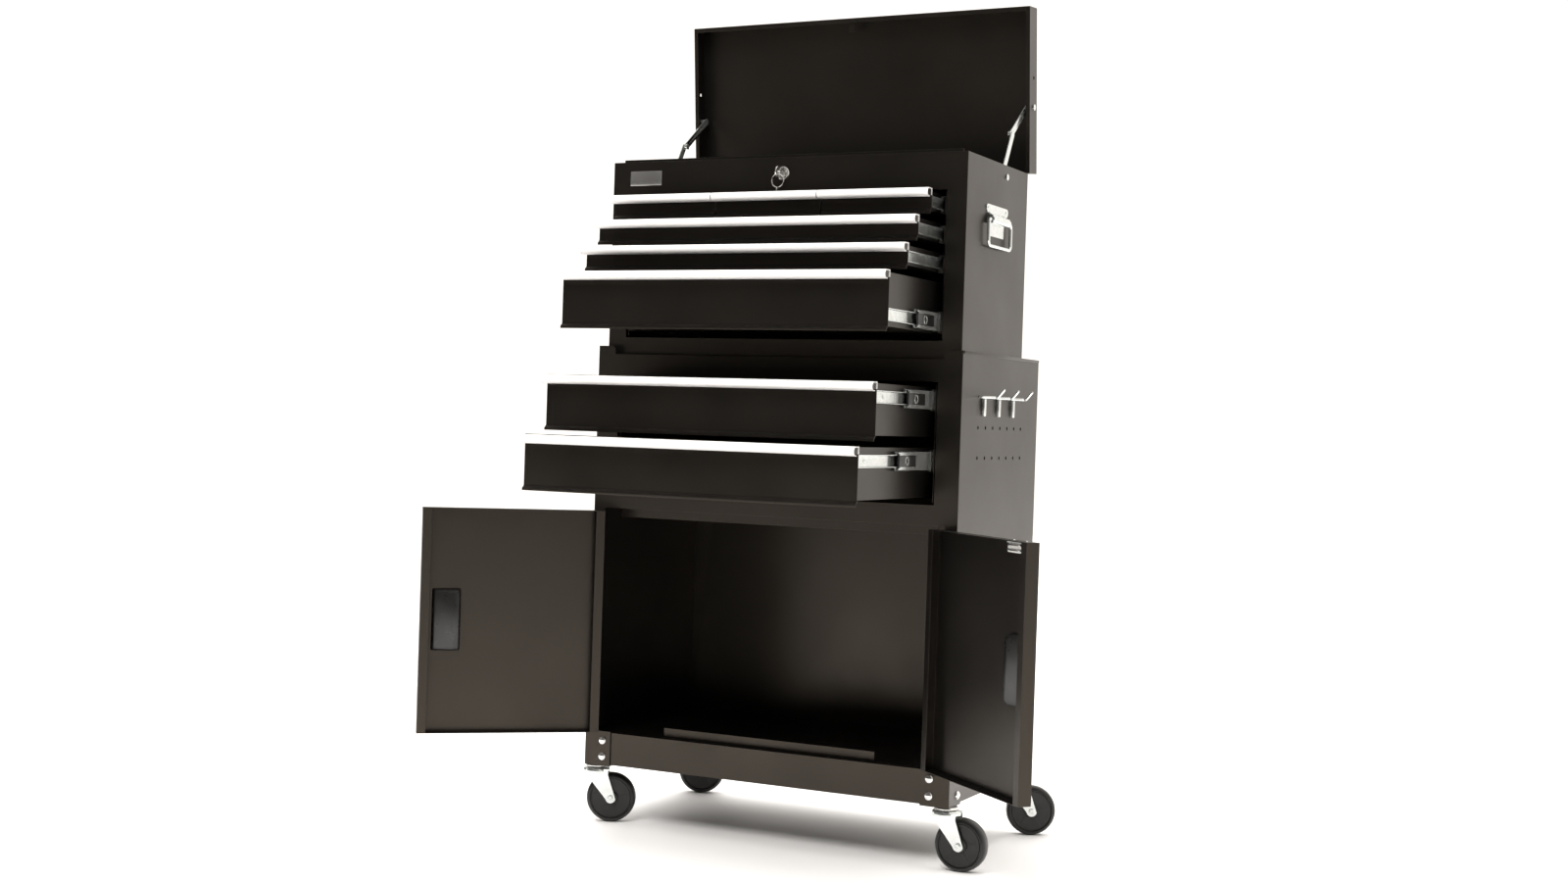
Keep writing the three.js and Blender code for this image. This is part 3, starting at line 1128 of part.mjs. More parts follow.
for (const [name, side] of SIDES) {
  addPiece(`handle_plate_${name}`, handlePlateSolid(side), ZINC);
  addPiece(`bail_${name}`, bailSolid(side), ZINC);
}

// Hooks in the top row of the hook board: a wire loop from two holes, a leg that stands on the board under
// it, and a tip that bends up
function hookSolid(column) {
  const [near, far] = [pegY(column), pegY(column + 1)];
  const middle = (near + far) / 2;
  const z = pegZ(0);
  const x = CAB_X;
  const loop = [[-HOOK_IN, near], [HOOK_STRAIGHT, near], [HOOK_FRONT_OUT, middle - HOOK_FRONT_HALF],
    [HOOK_FRONT_OUT, middle + HOOK_FRONT_HALF], [HOOK_STRAIGHT, far], [-HOOK_IN, far]];
  const base = wire(loop.map(([out, y]) => at(x + out, y, z)), HOOK_R, HOOK_BASE_BEND, ACROSS_Z);
  const arm = wire([at(x, middle, z), at(x + HOOK_BEND_OUT, middle, z),
    at(x + HOOK_TIP_OUT, middle, z + HOOK_TIP_RISE)], HOOK_R, HOOK_BEND, ACROSS_Y);
  const leg = slab(x, x + HOOK_LEG_T, middle - HOOK_LEG_W / 2, middle + HOOK_LEG_W / 2,
    z - HOOK_LEG_H, z + HOOK_R);
  return fuse(leg, base, arm);
}

for (let i = 0; i < HOOK_COUNT; i += 1) {
  addPiece(`hook_${i + 1}`, hookSolid(i * HOOK_STEP), ZINC);
}

// The origin goes to the middle of the whole footprint as it stands
root.updateMatrixWorld(true);
const box = new THREE.Box3().setFromObject(root, true);
const centre = box.getCenter(new THREE.Vector3());
root.position.set(-centre.x, -centre.y, -box.min.z);
root.updateMatrixWorld(true);

export default root;
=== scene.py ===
# %% [markdown]
# # A rolling tool chest
# The real object is a lidded sheet-metal chest that stands on a cabinet with casters. Its solids, joints
# and sizes come from a measured frame. This lesson dresses that frame: it gives every piece its finish,
# rounds the bent edges that catch the light, and makes fine pieces where a plain solid is too coarse.

# %% Load the measured frame
import json
import math

import bmesh
import bpy
from mathutils import Matrix, Vector


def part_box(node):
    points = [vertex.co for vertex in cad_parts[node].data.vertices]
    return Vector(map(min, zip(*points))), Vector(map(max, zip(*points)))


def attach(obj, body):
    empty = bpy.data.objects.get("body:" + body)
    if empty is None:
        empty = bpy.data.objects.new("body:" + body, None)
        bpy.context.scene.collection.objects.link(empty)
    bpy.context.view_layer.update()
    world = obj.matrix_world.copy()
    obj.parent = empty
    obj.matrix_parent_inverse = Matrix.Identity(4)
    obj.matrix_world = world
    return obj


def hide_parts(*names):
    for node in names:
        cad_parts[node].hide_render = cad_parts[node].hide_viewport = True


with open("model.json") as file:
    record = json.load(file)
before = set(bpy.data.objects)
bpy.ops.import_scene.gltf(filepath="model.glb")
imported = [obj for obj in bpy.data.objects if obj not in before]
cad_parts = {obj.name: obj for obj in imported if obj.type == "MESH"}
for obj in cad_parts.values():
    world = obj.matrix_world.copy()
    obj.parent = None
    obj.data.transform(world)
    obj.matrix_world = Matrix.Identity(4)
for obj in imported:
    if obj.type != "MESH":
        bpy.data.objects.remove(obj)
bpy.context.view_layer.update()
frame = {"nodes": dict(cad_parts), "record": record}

MM = 0.001

# %% [markdown]
# ## Where things are
# A maker measures a cabinet from its front face, its middle and the floor. The frame's origin is the middle
# of the footprint instead, so one small helper turns workshop millimetres into the frame's metres.

# %% Measure from the cabinet's front
SHEET = 1.2
FRONT_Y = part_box("cabinet_shell")[0][1] - SHEET * MM
CABINET_D, BRACKET_LOW = 334.0, 92.0


def spot(x, y, z):
    return Vector((x * MM, FRONT_Y + y * MM, z * MM))


print("cabinet front at y", round(FRONT_Y, 4))

# %% [markdown]
# ## The camera
# The photographer stood low and to the right of the object and held the camera a little tilted. A camera
# could be aimed with a track constraint, but its tilt would be lost. Three angles are turned into the
# camera's own axes instead, so that the tilt is kept exactly.

# %% Place the camera
CAMERA_SPOT = (1334.7, -2646.8, 640.7)
YAW, PITCH, TILT = 0.4599, 0.0085, 0.0328
SENSOR_MM, LENS_MM = 36.0, 44.88


def camera_axes(yaw, pitch, tilt):
    ahead = Vector((-math.sin(yaw) * math.cos(pitch), math.cos(yaw) * math.cos(pitch), -math.sin(pitch)))
    level = Vector((math.cos(yaw), math.sin(yaw), 0.0))
    upright = level.cross(ahead)
    right = level * math.cos(tilt) + upright * math.sin(tilt)
    return right, right.cross(ahead), -ahead


lens = bpy.data.cameras.new("studio_camera")
lens.sensor_width, lens.lens = SENSOR_MM, LENS_MM
camera = bpy.data.objects.new("studio_camera", lens)
bpy.context.scene.collection.objects.link(camera)
bpy.context.scene.camera = camera
turn = Matrix(camera_axes(YAW, PITCH, TILT)).transposed()
camera.matrix_world = Matrix.Translation(spot(*CAMERA_SPOT)) @ turn.to_4x4()
print("camera looks along", [round(v, 3) for v in -turn.col[2]])

# %% [markdown]
# ## The studio
# A black object shows mostly what it mirrors. The studio is dim in front of the chest and bright behind
# it, so the front stays deep black while the sides and edges pick up light. The sky's own direction
# drives that change. The lamps fill the pale pieces and whiten the floor, and no face mirrors them. A wide
# wash behind the object does most for the floor, as the photographer's sweep does, and it leaves the front
# in the shade.

# %% Light the studio
SKY_STRENGTH = 1.25
SKY_LEAN = math.radians(25.0)
SKY_STEPS = ((0.0, 0.05), (0.36, 0.2), (0.57, 0.8), (0.66, 1.0))
SKY_TINT = (1.0, 0.955, 0.9)
LAMP_TINT = (1.0, 0.975, 0.95)
LAMPS = (
    ("top_softbox", (-0.4, -0.3, 3.3), (0.0, 0.0, 0.6), 2.8, 95.0),
    ("front_softbox", (0.2, -2.6, 3.4), (0.0, -0.3, 0.2), 1.8, 170.0),
    ("floor_wash", (-2.5, 5.5, 5.0), (-2.5, 5.5, 0.0), 13.0, 1200.0),
    ("left_softbox", (-3.2, -1.4, 2.6), (0.0, 0.0, 0.6), 1.8, 30.0),
)


def studio_sky():
    world = bpy.data.worlds.new("studio")
    bpy.context.scene.world = world
    world.use_nodes = True
    nodes, links = world.node_tree.nodes, world.node_tree.links
    where = nodes.new("ShaderNodeTexCoord")
    leaned = nodes.new("ShaderNodeMapping")
    leaned.inputs["Scale"].default_value = (0.5, 0.5, 0.5)
    leaned.inputs["Rotation"].default_value = (0.0, 0.0, SKY_LEAN)
    leaned.inputs["Location"].default_value = (0.5, 0.5, 0.5)
    split = nodes.new("ShaderNodeSeparateXYZ")
    ramp = nodes.new("ShaderNodeValToRGB")
    while len(ramp.color_ramp.elements) < len(SKY_STEPS):
        ramp.color_ramp.elements.new(0.5)
    for step, (position, value) in zip(ramp.color_ramp.elements, SKY_STEPS):
        step.position = position
        step.color = (*(value * part for part in SKY_TINT), 1.0)
    links.new(where.outputs["Generated"], leaned.inputs["Vector"])
    links.new(leaned.outputs["Vector"], split.inputs[0])
    links.new(split.outputs["Y"], ramp.inputs["Fac"])
    links.new(ramp.outputs["Color"], nodes["Background"].inputs["Color"])
    nodes["Background"].inputs["Strength"].default_value = SKY_STRENGTH


def softbox(name, place, target, size, power):
    """A square lamp, in metres and watts, that lights the object but isn't mirrored in it."""
    lamp = bpy.data.lights.new(name, "AREA")
    lamp.size, lamp.energy = size, power
    lamp.color = LAMP_TINT
    holder = bpy.data.objects.new(name, lamp)
    bpy.context.scene.collection.objects.link(holder)
    holder.location = place
    holder.visible_glossy = False
    holder.rotation_euler = (Vector(target) - Vector(place)).to_track_quat("-Z", "Y").to_euler()


studio_sky()
for lamp in LAMPS:
    softbox(*lamp)
bpy.context.scene.view_settings.view_transform = "Standard"
print(len(LAMPS), "soft lamps under a leaning sky")

# %% [markdown]
# ## Finishes
# Every finish starts from one shader and gets its life from noise that is fixed to the object: powder
# coat has a fine orange peel, zinc has cloudy crystals, drawn trim has long streaks, and moulded plastic
# has a grain. Painted image maps could do the same, but noise needs no files and never repeats.

# %% Helpers for finishes
def plain_finish(name, colour, metal, roughness):
    made = bpy.data.materials.new(name)
    made.use_nodes = True
    shader = made.node_tree.nodes["Principled BSDF"]
    shader.inputs["Base Color"].default_value = (*colour, 1.0)
    shader.inputs["Metallic"].default_value = metal
    shader.inputs["Roughness"].default_value = roughness
    return made


def noise_on(made, scale, stretch=(1.0, 1.0, 1.0), detail=3.0):
    nodes, links = made.node_tree.nodes, made.node_tree.links
    where = nodes.new("ShaderNodeTexCoord")
    scaled = nodes.new("ShaderNodeMapping")
    scaled.inputs["Scale"].default_value = stretch
    grain = nodes.new("ShaderNodeTexNoise")
    grain.inputs["Scale"].default_value = scale
    grain.inputs["Detail"].default_value = detail
    links.new(where.outputs["Object"], scaled.inputs["Vector"])
    links.new(scaled.outputs["Vector"], grain.inputs["Vector"])
    return grain.outputs["Fac"]


def vary_colour(made, source, dark, light):
    nodes, links = made.node_tree.nodes, made.node_tree.links
    ramp = nodes.new("ShaderNodeValToRGB")
    ramp.color_ramp.elements[0].position, ramp.color_ramp.elements[1].position = 0.32, 0.68
    ramp.color_ramp.elements[0].color = (*dark, 1.0)
    ramp.color_ramp.elements[1].color = (*light, 1.0)
    links.new(source, ramp.inputs["Fac"])
    links.new(ramp.outputs["Color"], nodes["Principled BSDF"].inputs["Base Color"])


def vary_roughness(made, source, low, high):
    nodes, links = made.node_tree.nodes, made.node_tree.links
    spread = nodes.new("ShaderNodeMapRange")
    spread.inputs["From Min"].default_value, spread.inputs["From Max"].default_value = 0.3, 0.7
    spread.inputs["To Min"].default_value, spread.inputs["To Max"].default_value = low, high
    links.new(source, spread.inputs["Value"])
    links.new(spread.outputs["Result"], nodes["Principled BSDF"].inputs["Roughness"])


def raise_grain(made, source, strength, depth):
    nodes, links = made.node_tree.nodes, made.node_tree.links
    bump = nodes.new("ShaderNodeBump")
    bump.inputs["Strength"].default_value = strength
    bump.inputs["Distance"].default_value = depth
    links.new(source, bump.inputs["Height"])
    links.new(bump.outputs["Normal"], nodes["Principled BSDF"].inputs["Normal"])


def finish(name, dark, light, metal, rough, grain, bump, stretch=(1.0, 1.0, 1.0)):
    """Cloudy colour, uneven gloss and a raised grain, all fixed to the piece. The three numbers of the grain
    are the noise scales of colour, gloss and bump; the bump's two are its strength and its depth."""
    made = plain_finish(name, light, metal, sum(rough) / 2)
    clouds = noise_on(made, grain[0], stretch)
    vary_colour(made, clouds, dark, light)
    vary_roughness(made, noise_on(made, grain[1], stretch), *rough)
    raise_grain(made, noise_on(made, grain[2], stretch, 2.0), *bump)
    return made


# %% Mix the finishes
POWDER = finish("black_powder_coat", (0.0032, 0.0029, 0.0026), (0.0045, 0.0042, 0.0038), 0.0, (0.28, 0.36),
                (5.0, 9.0, 900.0), (0.12, 0.0002))
POWDER.node_tree.nodes["Principled BSDF"].inputs["Specular Tint"].default_value = (1.0, 0.86, 0.72, 1.0)
ZINC = finish("zinc_plating", (0.69, 0.715, 0.7), (0.77, 0.795, 0.78), 0.9, (0.14, 0.21),
              (120.0, 220.0, 1500.0), (0.04, 0.0001))
TRIM = finish("satin_trim", (0.64, 0.63, 0.62), (0.69, 0.68, 0.67), 0.1, (0.3, 0.38),
              (5.0, 20.0, 500.0), (0.02, 0.0001), (0.05, 1.0, 1.0))
NICKEL = finish("polished_nickel", (0.78, 0.77, 0.75), (0.88, 0.87, 0.85), 0.95, (0.08, 0.16),
                (90.0, 200.0, 900.0), (0.03, 0.0001))
BLACK_MOULDED = finish("black_moulded_plastic", (0.005, 0.0048, 0.0045), (0.008, 0.0077, 0.0073), 0.0,
                       (0.26, 0.36), (20.0, 60.0, 1400.0), (0.12, 0.0002))
WHITE_MOULDED = finish("white_moulded_plastic", (0.72, 0.72, 0.7), (0.82, 0.82, 0.8), 0.0, (0.3, 0.45),
                       (30.0, 60.0, 1200.0), (0.1, 0.0001))
TYRE = finish("moulded_tread", (0.005, 0.0048, 0.0045), (0.008, 0.0077, 0.0073), 0.0, (0.32, 0.44),
              (25.0, 70.0, 700.0), (0.06, 0.0002))
STUDIO_FLOOR = finish("studio_floor", (0.8, 0.795, 0.79), (0.83, 0.825, 0.82), 0.0, (0.6, 0.7),
                      (0.8, 3.0, 60.0), (0.01, 0.0002))
BY_SLOT = {"black_paint": POWDER, "zinc": ZINC, "trim_metal": TRIM, "chrome": NICKEL,
           "black_plastic": BLACK_MOULDED, "white_plastic": WHITE_MOULDED, "rubber": TYRE}
print(len(BY_SLOT), "finishes")

# %% Lay the floor
FLOOR_HALF = 9.0


def studio_floor(half):
    net = bpy.data.meshes.new("studio_floor")
    net.from_pydata([(-half, -half, 0), (half, -half, 0), (half, half, 0), (-half, half, 0)], [],
                    [(0, 1, 2, 3)])
    net.materials.append(STUDIO_FLOOR)
    ground = bpy.data.objects.new("studio_floor", net)
    bpy.context.scene.collection.objects.link(ground)


studio_floor(FLOOR_HALF)
print("floor", 2 * FLOOR_HALF, "metres wide")

# %% [markdown]
# ## Which piece belongs where
# The frame's record says which finish each piece takes and which body carries it. Reading both from the
# record keeps the dressed pieces and the solids together when the lid, a drawer or a door moves.

# %% Look up bodies and finishes
SLOT_OF = {row["node"]: row["material_slot"] for row in frame["record"]["subparts"]}
BODY_OF = {node: body for body, nodes in frame["record"]["behaviour"]["bodies"].items() for node in nodes}
for node, solid in frame["nodes"].items():
    solid.data.materials.clear()
    solid.data.materials.append(BY_SLOT[SLOT_OF[node]])


def to_mesh(work, name):
    bmesh.ops.recalc_face_normals(work, faces=work.faces)
    net = bpy.data.meshes.new(name)
    work.to_mesh(net)
    work.free()
    return net


def add_piece(name, work, node, slot=None, stands_for=(), smooth_deg=30.0, second=None):
    """Makes a worked mesh an object, rides it on a node's body and gives it the slot's finish."""
    slot = slot or SLOT_OF[node]
    net = to_mesh(work, name)
    net.materials.append(BY_SLOT[slot])
    if second:
        net.materials.append(BY_SLOT[second])
    made = bpy.data.objects.new(name, net)
    bpy.context.scene.collection.objects.link(made)
    net.polygons.foreach_set("use_smooth", [True] * len(net.polygons))
    net.set_sharp_from_angle(angle=math.radians(smooth_deg))
    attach(made, BODY_OF[node])
    if stands_for:
        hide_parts(*stands_for)
    return made


# %% [markdown]
# ## Folded sheet
# Sheet metal never has a knife edge: the press leaves a bend, and the powder thickens over it. The measured
# solid is copied and its flat triangles are merged. Then every fold and every cut rim is rounded by a third
# of a millimetre, and the wide faces keep their own flat shading beside the round.

# %% Soften the measured solids
FOLD, BEND_STEPS, BEND_FROM = 0.32 * MM, 2, math.radians(28.0)
WELD_WITHIN, FLAT_WITHIN = 0.02 * MM, math.radians(1.0)
SHEET_NODES = [n for n in SLOT_OF if n.startswith(
    ("chest_", "cabinet_", "drawer_", "door_left", "door_right", "lid", "bracket_", "stay_"))]


def round_edges(made):
    bevel = made.modifiers.new("bend", "BEVEL")
    bevel.width, bevel.segments = FOLD, BEND_STEPS
    bevel.limit_method, bevel.angle_limit = "ANGLE", BEND_FROM
    bevel.use_clamp_overlap = False
    bevel.harden_normals = True


# %% [markdown]
# ## Which faces are zinc
# The outer and inner channels of the slides are riveted to black walls, and the frame has each as one solid
# with its wall. On the real object they are bright zinc. Splitting them off would open the walls, so the
# faces that stand off a wall simply take the second finish.

# %% Pick out the slide channels
CHEST_WALL, CABINET_WALL, SLIDE_W = 266.0, 265.8, 12.5
CHANNEL_DEEP, TALLEST_SLIDE, OFF_THE_WALL = 9.3, 50.0 * MM, 0.05
ROW_HALF, SMALL_GAP = 265.0, 2.0
SMALL_PITCH = (2 * ROW_HALF + SMALL_GAP) / 3
SMALL_REACH = SMALL_PITCH / 2 - SHEET / 2 - SLIDE_W
ROW_REACH = CHEST_WALL - SLIDE_W
DRAWER_SIDES = {"drawer_row1_left": (-ROW_REACH, -SMALL_PITCH + SMALL_REACH),
                "drawer_row1_middle": (-SMALL_REACH, SMALL_REACH),
                "drawer_row1_right": (SMALL_PITCH - SMALL_REACH, ROW_REACH)}


def drawer_sides(node):
    """The outer faces of a drawer's side walls."""
    wall = CABINET_WALL if node.startswith("drawer_cab") else CHEST_WALL
    return DRAWER_SIDES.get(node, (SLIDE_W - wall, wall - SLIDE_W))


def is_channel(node, middle):
    """Whether a face with this middle belongs to a slide rather than to its wall."""
    x = middle.x / MM
    if node in ("chest_shell", "cabinet_shell"):
        wall = CHEST_WALL if node == "chest_shell" else CABINET_WALL
        return wall - CHANNEL_DEEP < abs(x) < wall - OFF_THE_WALL
    if node == "chest_till":
        off = abs(abs(x) - SMALL_PITCH / 2)
        return SHEET / 2 + OFF_THE_WALL < off < CHANNEL_DEEP + SHEET
    return False


print("drawer sides of the middle small drawer:", [round(v, 1) for v in drawer_sides("drawer_row1_middle")])

# %% [markdown]
# ## Drawer fronts
# A drawer front is one pressed sheet: its lower edge is folded out by 45 degrees and then down, and that
# narrow slope catches the light from above as a thin bright line. The measured solid has one straight
# slope, so the front is cut from the copy and pressed again from a finer outline.

# %% Helpers for pressed outlines
def rounded(points, radii, steps=5, closed=True):
    """A flat outline whose corners are rounded by the given radii."""
    made = []
    count = len(points)
    for i, (corner, radius) in enumerate(zip(points, radii)):
        corner = Vector(corner)
        if not closed and i in (0, count - 1) or radius <= 0:
            made.append(corner)
            continue
        into = (Vector(points[i - 1]) - corner).normalized()
        out = (Vector(points[(i + 1) % count]) - corner).normalized()
        half = into.angle(out) / 2
        centre = corner + (into + out).normalized() * (radius / math.sin(half))
        start = corner + into * (radius / math.tan(half)) - centre
        stop = corner + out * (radius / math.tan(half)) - centre
        swing = math.pi - 2 * half
        for k in range(steps + 1):
            near, far = math.sin(swing * (1 - k / steps)), math.sin(swing * k / steps)
            made.append(centre + (start * near + stop * far) / math.sin(swing))
    return made


def join_rings(work, rings, ends=True):
    for near, far in zip(rings, rings[1:]):
        for i in range(len(near)):
            j = (i + 1) % len(near)
            work.faces.new((near[i], near[j], far[j], far[i]))
    if ends:
        work.faces.new(list(reversed(rings[0])))
        work.faces.new(rings[-1])


def pushed_along_x(work, outline, x0, x1):
    """An outline of (y, z) pushed from x0 to x1, all in workshop millimetres."""
    join_rings(work, [[work.verts.new(spot(x, *point)) for point in outline] for x in (x0, x1)])


# %% Helpers for turned pieces and blocks
def along(axis, place):
    """A place and a direction, as the matrix of a tool whose own axis is z."""
    return Matrix.Translation(place) @ Vector(axis).to_track_quat("Z", "Y").to_matrix().to_4x4()


def turned(work, outline, place, steps=32, hollow=False):
    """A turned piece: (radius, height) pairs in millimetres, around a placed axis."""
    rings = [[work.verts.new(place @ Vector((r * MM * math.cos(a), r * MM * math.sin(a), h * MM)))
              for a in (2 * math.pi * k / steps for k in range(steps))] for r, h in outline]
    if hollow:
        rings.append(rings[0])
    join_rings(work, rings, ends=not hollow)


def dome(work, place, radius, high, brim=0.4):
    """A low round head: a short brim and a domed top."""
    steps = 6
    outline = [(radius, 0.0), (radius, brim)]
    for k in range(1, steps):
        a = math.pi / 2 * k / steps
        outline.append((radius * math.cos(a), brim + (high - brim) * math.sin(a)))
    outline.append((0.02, high))
    turned(work, outline, place, 24)


def rounded_block(work, low, high, radius):
    """A box between two corners with all its edges rounded."""
    made = bmesh.ops.create_cube(work, size=1.0)["verts"]
    size = high - low
    for vert in made:
        vert.co = low + Vector((c + 0.5) * s for c, s in zip(vert.co, size))
    edges = {edge for vert in made for edge in vert.link_edges}
    bmesh.ops.bevel(work, geom=list(edges), offset=radius, segments=3, profile=0.5, affect="EDGES")


# %% Press the drawer fronts
LIP_OUT, LIP_HIGH, LIP_SLOPE = 4.5, 7.4, 3.6
TRIM_D, TRIM_T, TRIM_NOSE, TRIM_DROP = 18.0, 1.2, 6.3, 1.0
# The hem is a black block in the trim's hollow, painted shade for the dark inside of the trim's open ends.
SHADE_HEM_BACK, SHADE_HEM_HIGH, SHADE_HEM_R, SHADE_HEM_IN = 1.9, 8.6, 3.8, 0.7


def measured(node):
    """A node's box in workshop millimetres, from the cabinet's front."""
    low, high = (Vector(corner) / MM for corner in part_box(node))
    return Vector((low.x, low.y - FRONT_Y / MM, low.z)), Vector((high.x, high.y - FRONT_Y / MM, high.z))


def cut_off(work, place, normal):
    """Cuts away all that lies beyond a plane and closes the cut."""
    bmesh.ops.bisect_plane(work, geom=work.verts[:] + work.edges[:] + work.faces[:], plane_co=place,
                           plane_no=normal, clear_outer=True)
    bmesh.ops.holes_fill(work, edges=[e for e in work.edges if e.is_boundary], sides=0)


def press_front(work, low, high):
    """The front's sheet with its lower lip, and a black hem block that fills the trim's hollow as painted shade: it
    stands in for the shade inside the trim's open ends.
    """
    face = low.y + LIP_OUT
    corners = [(face, high.z), (face, low.z + LIP_HIGH), (face - LIP_OUT, low.z + LIP_SLOPE),
               (face - LIP_OUT, low.z), (face - LIP_OUT + SHEET, low.z),
               (face - LIP_OUT + SHEET, low.z + LIP_SLOPE - 0.5), (face + SHEET, low.z + LIP_HIGH - 0.5),
               (face + SHEET, high.z)]
    pushed_along_x(work, rounded(corners, (0.4, 2.0, 1.4, 0.4, 0.4, 0.5, 2.5, 0.4)), low.x, high.x)
    # A black block fills the trim's hollow down to the hem's height: painted shade for the dark inside of the trim's
    # open ends.
    top, nose = high.z - TRIM_DROP - TRIM_T - 0.3, face - TRIM_D + TRIM_T + 0.8
    shade_hem = [(face - SHADE_HEM_BACK, top), (nose, top), (nose, top - SHADE_HEM_HIGH), (face - SHADE_HEM_BACK, top - SHADE_HEM_HIGH)]
    pushed_along_x(work, rounded(shade_hem, (0.8, SHADE_HEM_R, SHADE_HEM_R, 0.8)), low.x + SHADE_HEM_IN, high.x - SHADE_HEM_IN)


# %% [markdown]
# ## Slides
# The rail on a drawer is a rolled zinc channel. Its web is cut back at the front, its lips stand out past
# it, and a screw near the front ties it to the drawer. The frame has it as one solid with the drawer, so it
# is cut off the drawer's copy there and rolled again with round bends. The middle members of the long
# slides are rolled the same way, with a row of balls along each lip and a black moulded insert in front.

# %% Roll the drawer rails
WEB_T, NOTCH, LIP_LEFT = 1.2, 6.5, 3.4
SCREW_BACK = {"drawer_cabinet1": 46.0, "drawer_cabinet2": 43.0}
SCREW_BACK_ELSEWHERE, SCREW_R, SCREW_HIGH = 16.0, 2.6, 1.1


def pushed_along_y(work, outline, y0, y1):
    join_rings(work, [[work.verts.new(spot(x, y, z)) for x, z in outline] for y in (y0, y1)])


def rolled_channel(work, wall, tip, z, half, y0, y1, notch):
    """A C-shaped rail that stands on a wall with its lips towards the tip."""
    way = 1 if tip > wall else -1
    inner = wall + way * WEB_T
    whole = [(wall, z - half), (tip, z - half), (tip, z - half + WEB_T), (inner, z - half + WEB_T),
             (inner, z + half - WEB_T), (tip, z + half - WEB_T), (tip, z + half), (wall, z + half)]
    pushed_along_y(work, rounded(whole, (1.9, 0.4, 0.4, 0.8, 0.8, 0.4, 0.4, 1.9)), y0 + notch, y1)
    if not notch:
        return
    for up in (-1, 1):
        lip = [(wall, z + up * half), (tip, z + up * half), (tip, z + up * (half - WEB_T)),
               (inner, z + up * (half - WEB_T)), (inner, z + up * (half - LIP_LEFT)),
               (wall, z + up * (half - LIP_LEFT))]
        pushed_along_y(work, rounded(lip, (1.9, 0.4, 0.4, 0.8, 0.3, 0.3)), y0, y0 + notch)


def roll_rails(node, work, low):
    """Cuts the front and the rails off a drawer's copy, and rolls the rails again."""
    panel_back = low.y + LIP_OUT + SHEET
    cut_off(work, spot(0, panel_back + 0.01, 0), (0, -1, 0))
    rails = bmesh.new()
    for wall, way in zip(drawer_sides(node), (-1, 1)):
        beyond = [v.co for v in work.verts if (v.co.x / MM - wall) * way > 0.05]
        y0, y1 = (pick(c.y - FRONT_Y for c in beyond) / MM for pick in (min, max))
        z0, z1 = (pick(c.z for c in beyond) / MM for pick in (min, max))
        tip = way * max(way * c.x for c in beyond) / MM
        cut_off(work, Vector((wall + way * 0.005, 0, 0)) * MM, (way, 0, 0))
        rolled_channel(rails, wall, tip, (z0 + z1) / 2, (z1 - z0) / 2, y0, y1, NOTCH)
        back = SCREW_BACK.get(node, SCREW_BACK_ELSEWHERE)
        screw = spot(wall + way * WEB_T, y0 + back, (z0 + z1) / 2)
        dome(rails, along((way, 0, 0), screw), SCREW_R, SCREW_HIGH)
    add_piece(node + "_rails", rails, node, "zinc")


# %% Form every sheet piece
BRACKET_T, BRACKET_X, CUT_BESIDE = 2.0, 310.0, 0.01


def clear_bracket(node, work):
    """Cuts a bracket's bolts and race off its copy."""
    out = -1 if "front" in node else 1
    side = 1 if "right" in node else -1
    outside = BRACKET_T + CUT_BESIDE
    cut_off(work, spot(0, -outside if out < 0 else CABINET_D + outside, 0), (0, out, 0))
    cut_off(work, spot(side * (BRACKET_X + CUT_BESIDE), 0, 0), (side, 0, 0))
    cut_off(work, spot(0, 0, BRACKET_LOW - CUT_BESIDE), (0, 0, -1))


for node in SHEET_NODES:
    work = bmesh.new()
    work.from_mesh(frame["nodes"][node].data)
    bmesh.ops.remove_doubles(work, verts=work.verts, dist=WELD_WITHIN)
    low, high = measured(node)
    if node.startswith("drawer_"):
        roll_rails(node, work, low)
    if node.startswith("bracket_"):
        clear_bracket(node, work)
    bmesh.ops.dissolve_limit(work, angle_limit=FLAT_WITHIN, verts=work.verts, edges=work.edges)
    for face in work.faces:
        heights = [corner.co.z for corner in face.verts]
        low_enough = max(heights) - min(heights) < TALLEST_SLIDE
        face.material_index = int(low_enough and is_channel(node, face.calc_center_bounds()))
    if node.startswith("drawer_"):
        press_front(work, low, high)
    shared = node in ("chest_shell", "cabinet_shell", "chest_till")
    made = add_piece(node + "_formed", work, node, stands_for=(node,), second="zinc" if shared else None)
    round_edges(made)
print(len(SHEET_NODES), "formed pieces")

# %% Roll the middle members
MEMBER_NOTCH, BALL_ROW_DEEP, BALL_ROW_FROM = 5.0, 3.4, 9.4
RING_BACKS, RING_MIDDLE, RING_HALF, RING_HIGH = (30.0, 150.0), 5.6, 1.6, 0.8
STOP_FRONT, STOP_BACK, STOP_HALF = 1.6, 62.0, 8.2


def pressed_ring(work, place):
    """A low ring that is pressed out of the web."""
    top = RING_HALF * 0.6
    outline = [(RING_MIDDLE - RING_HALF, 0.0), (RING_MIDDLE - top, RING_HIGH), (RING_MIDDLE + top, RING_HIGH),
               (RING_MIDDLE + RING_HALF, 0.0)]
    turned(work, outline, place, 32, hollow=True)


